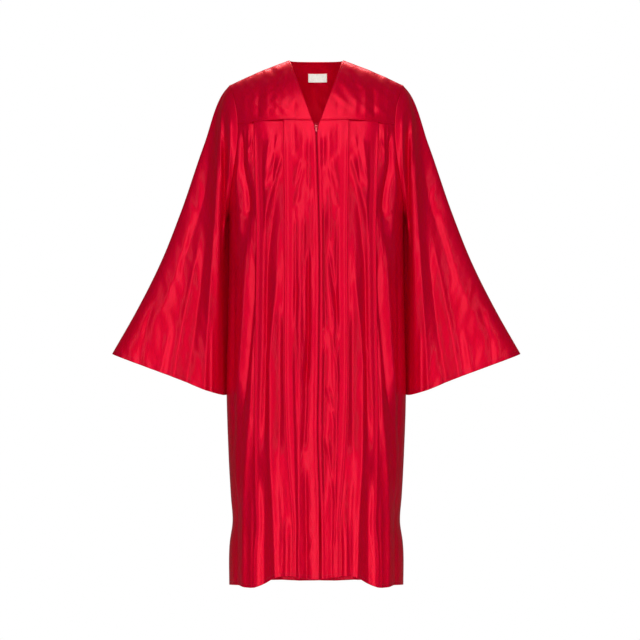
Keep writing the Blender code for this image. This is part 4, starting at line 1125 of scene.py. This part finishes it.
def block(size):
    """A new block with sides of those lengths."""
    made = start_model(bpy.ops.mesh.primitive_cube_add, size=1.0)
    made.scale = size
    bpy.ops.object.transform_apply(location=False, rotation=False, scale=True)
    return made


def draw_out(step, scale=(1.0, 1.0, 1.0)):
    """Draws the picked faces out by a step and makes their ends narrower or wider."""
    bpy.ops.mesh.extrude_region_move(TRANSFORM_OT_translate={"value": step})
    bpy.ops.transform.resize(value=scale)


def pick_faces(item, wanted):
    """Selects the faces whose normal the test accepts, in edit mode."""
    bpy.ops.object.mode_set(mode="OBJECT")
    for part in (item.data.vertices, item.data.edges, item.data.polygons):
        part.foreach_set("select", np.zeros(len(part), bool))
    for face in item.data.polygons:
        face.select = wanted(face.normal)
    bpy.ops.object.mode_set(mode="EDIT")
    bpy.ops.mesh.select_mode(type="FACE")


TOOTH_PITCH, TOOTH_SIZE = 1.5, (3.4, 0.62, 0.95)
tooth = block(TOOTH_SIZE)
pick_faces(tooth, lambda normal: normal.x > 0.9)
draw_out((0.5, 0.0, 0.0), (1.0, 0.8, 1.35))
draw_out((0.5, 0.0, 0.0), (1.0, 0.6, 0.6))
bpy.ops.object.mode_set(mode="OBJECT")
print("tooth faces:", len(tooth.data.polygons))


# %% Copies of a small part
def joined_copies(name, pattern, frames, material):
    """One mesh of copies of a pattern. A frame is (point, x axis, y axis, z axis), in mm."""
    pattern_points = np.array([corner.co for corner in pattern.data.vertices])
    pattern_faces = [list(face.vertices) for face in pattern.data.polygons]
    points, faces = [], []
    for number, (place, x_axis, y_axis, z_axis) in enumerate(frames):
        turned = pattern_points @ np.array([x_axis, y_axis, z_axis])
        points.append(turned + place)
        faces += [[corner + number * len(pattern_points) for corner in face] for face in pattern_faces]
    mesh_piece(name, np.concatenate(points), faces, material)
    print(name, "copies:", len(frames), "faces:", len(faces))


TOOTH_BEHIND, TOOTH_ASIDE = TAPE_BEHIND - 0.62, 1.5  # the teeth stand on the tape
TEETH_FROM, TEETH_TO = TAPE_TOP - 6.0, TAPE_BOTTOM + 4.0
nylon = Finish("red_nylon", Roughness=0.4, Specular_IOR_Level=0.12)
nylon_grain = nylon.noise(nylon.node("TexCoord", output=3), 900.0, 2.0)
nylon.into("Base Color", nylon.blend(nylon_grain, (0.34, 0.0, 0.012, 1.0), (0.46, 0.002, 0.022, 1.0)))
nylon.bump(nylon_grain, 0.00005)
tooth_frames = []
for number, height in enumerate(np.arange(TEETH_FROM, TEETH_TO, -TOOTH_PITCH)):
    here = tape_place(np.array(height), np.array(0.0), TOOTH_BEHIND)
    down = unit(tape_place(np.array(height - 1.0), np.array(0.0), TOOTH_BEHIND) - here)
    x_axis = np.array((1.0 if number % 2 else -1.0, 0.0, 0.0))
    tooth_frames.append((here - x_axis * TOOTH_ASIDE, x_axis, np.cross(down, x_axis), down))
joined_copies("zip_teeth", tooth, tooth_frames, nylon.material)
bpy.data.objects.remove(tooth, do_unlink=True)

# %% [markdown]
# ## The slider and its pull
#
# The slider is a small casting, painted red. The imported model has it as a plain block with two
# lugs and a pin, on which the pull swings. The body here is a cube drawn narrower towards the
# tail, as a slider is, and its edges are rounded by a bevel. The pull is a flat tongue that is
# narrow at its eye and wide and round at its end.

# %% Painted metal
SLIDER_HEIGHT, SLIDER_BACK, SLIDER_SIZE = -145.0, -0.6, (7.5, 2.2, 9.0)
paint = Finish("red_enamel", Roughness=0.28, Metallic=0.35, Coat_Weight=0.4, Coat_Roughness=0.15)
scuffs = paint.streaks(paint.node("TexCoord", output=3), (900.0, 900.0, 240.0), 4.0, 0.65)
worn = ((scuffs - 0.60) * 14.0).clamp(0.0, 1.0)
paint.into("Base Color", paint.blend(worn, (0.52, 0.004, 0.022, 1.0), (0.80, 0.42, 0.42, 1.0)))
paint.into("Roughness", worn * 0.2 + 0.26)
paint.bump(scuffs, 0.00004)

# %% Slider
here = tape_place(np.array(SLIDER_HEIGHT), np.array(0.0), 0.0)
below = tape_place(np.array(SLIDER_HEIGHT - SLIDER_SIZE[2]), np.array(0.0), 0.0)
chest_down = unit(below - here)
chest_out = np.cross(chest_down, (1.0, 0.0, 0.0))
chest_out = chest_out * -np.sign(chest_out[1])


def set_on_chest(item, place):
    """Moves a modelled piece (x across, y inward, z up, in mm) to its place, inside its mesh."""
    points = np.array([corner.co for corner in item.data.vertices])
    axes = np.array([(1.0, 0.0, 0.0), -chest_out, -chest_down])
    points = (points @ axes + place) * MM
    item.data.vertices.foreach_set("co", points.astype(np.float32).ravel())
    item.data.update()


def round_edges(item, width, segments):
    """Rounds a piece's edges for good, and shades the rest of it smooth."""
    bevel = item.modifiers.new("rounding", "BEVEL")
    bevel.width = width
    bevel.segments = segments
    bevel.limit_method = "ANGLE"
    bpy.context.view_layer.objects.active = item
    bpy.ops.object.modifier_apply(modifier="rounding")
    bpy.ops.object.shade_smooth_by_angle(angle=math.radians(35))


def join_parts(name, main, others):
    """Joins pieces into the main one and paints it."""
    bpy.ops.object.select_all(action="DESELECT")
    for part in [main] + others:
        part.select_set(True)
    bpy.context.view_layer.objects.active = main
    bpy.ops.object.join()
    main.name = name
    main.data.materials.clear()
    main.data.materials.append(paint.material)


slider = block(SLIDER_SIZE)
pick_faces(slider, lambda normal: normal.z > 0.9)
bpy.ops.mesh.inset(thickness=0.4)
pick_faces(slider, lambda normal: normal.z < -0.9)
bpy.ops.transform.resize(value=(0.62, 0.9, 1.0))
pick_faces(slider, lambda normal: normal.y < -0.9)
bpy.ops.mesh.inset(thickness=0.9)
draw_out((0.0, -0.35, 0.0))
bpy.ops.object.mode_set(mode="OBJECT")
round_edges(slider, 0.28, 3)
set_on_chest(slider, here + chest_out * (SLIDER_BACK + SLIDER_SIZE[1] / 2))

# %% Lugs and pin
PIN_RADIUS, PIN_LENGTH, PIN_PROUD = 0.5, 5.2, 1.6
LUG_SIZE, LUG_SPREAD, LUG_PROUD = (0.9, 3.5, 2.6), 1.95, 1.25
slider_front = SLIDER_BACK + SLIDER_SIZE[1]
pin_place = here + chest_out * (slider_front + PIN_PROUD)
lugs = []
for side in (-1, 1):
    lug = block(LUG_SIZE)
    pick_faces(lug, lambda normal: normal.y < -0.9)
    bpy.ops.transform.resize(value=(1.0, 1.0, 0.6))
    bpy.ops.object.mode_set(mode="OBJECT")
    round_edges(lug, 0.3, 3)
    aside = np.array((side * LUG_SPREAD, 0, 0))
    set_on_chest(lug, here + chest_out * (slider_front + LUG_PROUD) + aside)
    lugs.append(lug)
pin = start_model(bpy.ops.mesh.primitive_cylinder_add, vertices=24, radius=PIN_RADIUS, depth=PIN_LENGTH,
                  rotation=(0.0, math.pi / 2, 0.0))
bpy.ops.object.transform_apply(location=False, rotation=True, scale=False)
round_edges(pin, 0.15, 2)
set_on_chest(pin, pin_place)
join_parts("slider_casting", slider, lugs + [pin])
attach(slider, "gown")
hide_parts("zip_slider")

# %% Pull
PULL_NECK, EYE_RADIUS, BARREL_RADIUS, BARREL_LENGTH = (2.2, 0.9, 3.2), 0.75, 1.25, 4.4
# Each row: how far the tongue is drawn out, and what its width is multiplied by
PULL_STEPS = ((0.9, 1.9), (5.6, 1.0), (1.5, 0.8), (0.7, 0.5))
pull = block(PULL_NECK)
for drop, widen in PULL_STEPS:
    pick_faces(pull, lambda normal: normal.z < -0.9)
    draw_out((0.0, 0.0, -drop), (widen, 1.0, 1.0))
bpy.ops.object.mode_set(mode="OBJECT")
round_edges(pull, 0.25, 3)
set_on_chest(pull, pin_place + chest_down * (EYE_RADIUS + 0.15 + PULL_NECK[2] / 2))
barrel = start_model(bpy.ops.mesh.primitive_torus_add, major_segments=28, minor_segments=12,
                     major_radius=(BARREL_RADIUS + EYE_RADIUS) / 2,
                     minor_radius=(BARREL_RADIUS - EYE_RADIUS) / 2, rotation=(0.0, math.pi / 2, 0.0))
bpy.ops.object.transform_apply(location=False, rotation=True, scale=False)
bpy.ops.object.mode_set(mode="EDIT")
bpy.ops.mesh.select_all(action="SELECT")
bpy.ops.transform.resize(value=(BARREL_LENGTH, 1.0, 1.0))
bpy.ops.object.mode_set(mode="OBJECT")
bpy.ops.object.shade_smooth()
set_on_chest(barrel, pin_place)
join_parts("zip_pull_tongue", pull, [barrel])
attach(pull, "zip_pull")
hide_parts("zip_pull_tab")
print("slider faces:", len(slider.data.polygons), "pull faces:", len(pull.data.polygons))

# %% [markdown]
# ## The label
#
# A woven label is sewn inside the back neck. It is a short ribbon, left blank here. Its cloth
# lies on the yoke, so its points are read from the yoke's own sheet and moved inward.

# %% Label
LABEL_LEFT, LABEL_RIGHT, LABEL_TOP, LABEL_FOOT = -19.9, 26.1, 4.0, -16.0
LABEL_BEHIND, LABEL_PAINTED_LIGHT = 1.35, 0.45
LABEL = woven("white_ribbon", (0.86, 0.84, 0.77, 1.0), (0.98, 0.97, 0.93, 1.0), 0.0006, 0.6)
label_painted_light = LABEL.node_tree.nodes["Principled BSDF"]  # emission is painted light: it brightens the ribbon, which lies in shade inside the neck
label_painted_light.inputs["Emission Color"].default_value = (0.9, 0.88, 0.78, 1.0)
label_painted_light.inputs["Emission Strength"].default_value = LABEL_PAINTED_LIGHT


def on_sheet(grid, across, height):
    """The point of a sheet at that place, seen from the front."""
    across_at, depth_at = [], []
    for column in np.moveaxis(grid, 1, 0):
        column = column[np.argsort(column[:, 2])]
        across_at.append(np.interp(height, column[:, 2], column[:, 0]))
        depth_at.append(np.interp(height, column[:, 2], column[:, 1]))
    return np.array((across, np.interp(across, across_at, depth_at), height))


label_across = np.linspace(LABEL_LEFT, LABEL_RIGHT, 56)
label_rows = np.array([[on_sheet(back_yoke, across, height) for across in label_across]
                       for height in np.linspace(LABEL_TOP, LABEL_FOOT, 26)])
label_rows[..., 1] -= LABEL_BEHIND
label_edge = np.minimum.reduce([label_rows[..., 0] - LABEL_LEFT, LABEL_RIGHT - label_rows[..., 0],
                                label_rows[..., 2] - LABEL_FOOT, LABEL_TOP - label_rows[..., 2]])
label_rows[..., 1] -= 0.35 * np.exp(-label_edge / 0.7)
label, _ = sheet_piece("label_ribbon", label_rows, "neck_label", LABEL, flip=True)

# %% [markdown]
# ## Stitches
#
# Hems and edges are held by rows of small stitches. Each stitch is a short thread that dips
# into the cloth at both ends. One stitch is modelled, and copies of it follow each seam.

# %% One stitch
STITCH_LENGTH, STITCH_GAP, THREAD_RADIUS = 2.3, 0.7, 0.22
stitch = start_model(bpy.ops.mesh.primitive_cylinder_add, vertices=6, radius=THREAD_RADIUS,
                     depth=STITCH_LENGTH * 0.5, end_fill_type="NGON")
for upward in (1, -1):
    pick_faces(stitch, lambda normal: normal.z * upward > 0.9)
    draw_out((0.0, 0.10, upward * STITCH_LENGTH * 0.15), (0.85, 0.85, 1.0))
    draw_out((0.0, 0.25, upward * STITCH_LENGTH * 0.10), (0.5, 0.5, 1.0))
bpy.ops.object.mode_set(mode="OBJECT")
print("stitch faces:", len(stitch.data.polygons))


# %% Rows of stitches
def read_at(stop, way, values):
    """A row of a table of threes, between the rows, where the way has come to the stop."""
    return np.array([np.interp(stop, way, values[:, axis]) for axis in range(3)])


def seam_frames(line, outward, closed=False):
    """A frame for each stitch along a line of points that lie on the cloth."""
    if closed:
        line = np.concatenate([line, line[:1]])
        outward = np.concatenate([outward, outward[:1]])
    way = running_sum(np.linalg.norm(np.diff(line, axis=0), axis=1))
    pitch = STITCH_LENGTH + STITCH_GAP
    stops = np.arange(pitch / 2, way[-1], pitch)
    frames = []
    for stop in stops + rng.uniform(-0.08, 0.08, len(stops)):
        place = read_at(stop, way, line)
        along = unit(read_at(stop + 0.5, way, line) - place)
        out = unit(read_at(stop, way, outward))
        inward = -unit(out - along * np.dot(out, along))
        side = np.cross(inward, along)
        frames.append((place - inward * (CLOTH_THICKNESS / 2 + 0.05), side, inward, along))
    return frames


def row_above_hem(grid, rise, closed=False, sign=1):
    """The line of the cloth that far above its lowest edge, and the directions outward there."""
    down = np.linalg.norm(np.diff(grid, axis=0), axis=-1)
    from_edge = np.concatenate([np.cumsum(down[::-1], 0)[::-1], np.zeros((1, grid.shape[1]))], 0)
    return tuple(np.array([read_at(rise, from_edge[::-1, column], values[::-1, column])
                           for column in range(grid.shape[1])])
                 for values in (grid, sign * directions(grid, closed)))


hem_frames = []
for side, hand in HANDS:
    hem_frames += seam_frames(*row_above_hem(fronts[hand], HEM_STITCHES, sign=side))
    hem_frames += seam_frames(*row_above_hem(sleeves[hand], CUFF_STITCHES, True, side), closed=True)
hem_frames += seam_frames(*row_above_hem(back, HEM_STITCHES, sign=-1))
joined_copies("hem_stitches", stitch, hem_frames, red_thread.material)

# %% Stitches round the neck and the label
NECK_STITCHES = 5.0  # millimetres from the neck's edge
neck_frames = []
for side, hand in HANDS:
    v_line = row_above_hem(np.moveaxis(yokes[hand], 0, 1)[::-1], NECK_STITCHES)[0]
    neck_frames += seam_frames(v_line, directions(yokes[hand])[:, 2] * side)
neck_line = row_above_hem(back_yoke[::-1], NECK_STITCHES)[0]
inner_part = np.abs(neck_line[:, 0]) < NECK_HALF_WIDTH - 4
neck_out = -directions(back_yoke)[4]
neck_frames += seam_frames(neck_line[inner_part], neck_out[inner_part])
joined_copies("neck_stitches", stitch, neck_frames, red_thread.material)
ring = np.concatenate([label_rows[1, 1:-1], label_rows[1:-1, -2], label_rows[-2, -2:0:-1],
                       label_rows[-2:0:-1, 1]])
label_frames = seam_frames(ring, np.tile((0.0, -1.0, 0.0), (len(ring), 1)))
white_thread = Finish("white_thread", Roughness=0.6)
twisted(white_thread, 0, (0.6, 0.58, 0.52, 1.0), (0.8, 0.78, 0.74, 1.0))
joined_copies("label_stitches", stitch, label_frames, white_thread.material)
bpy.data.objects.remove(stitch, do_unlink=True)
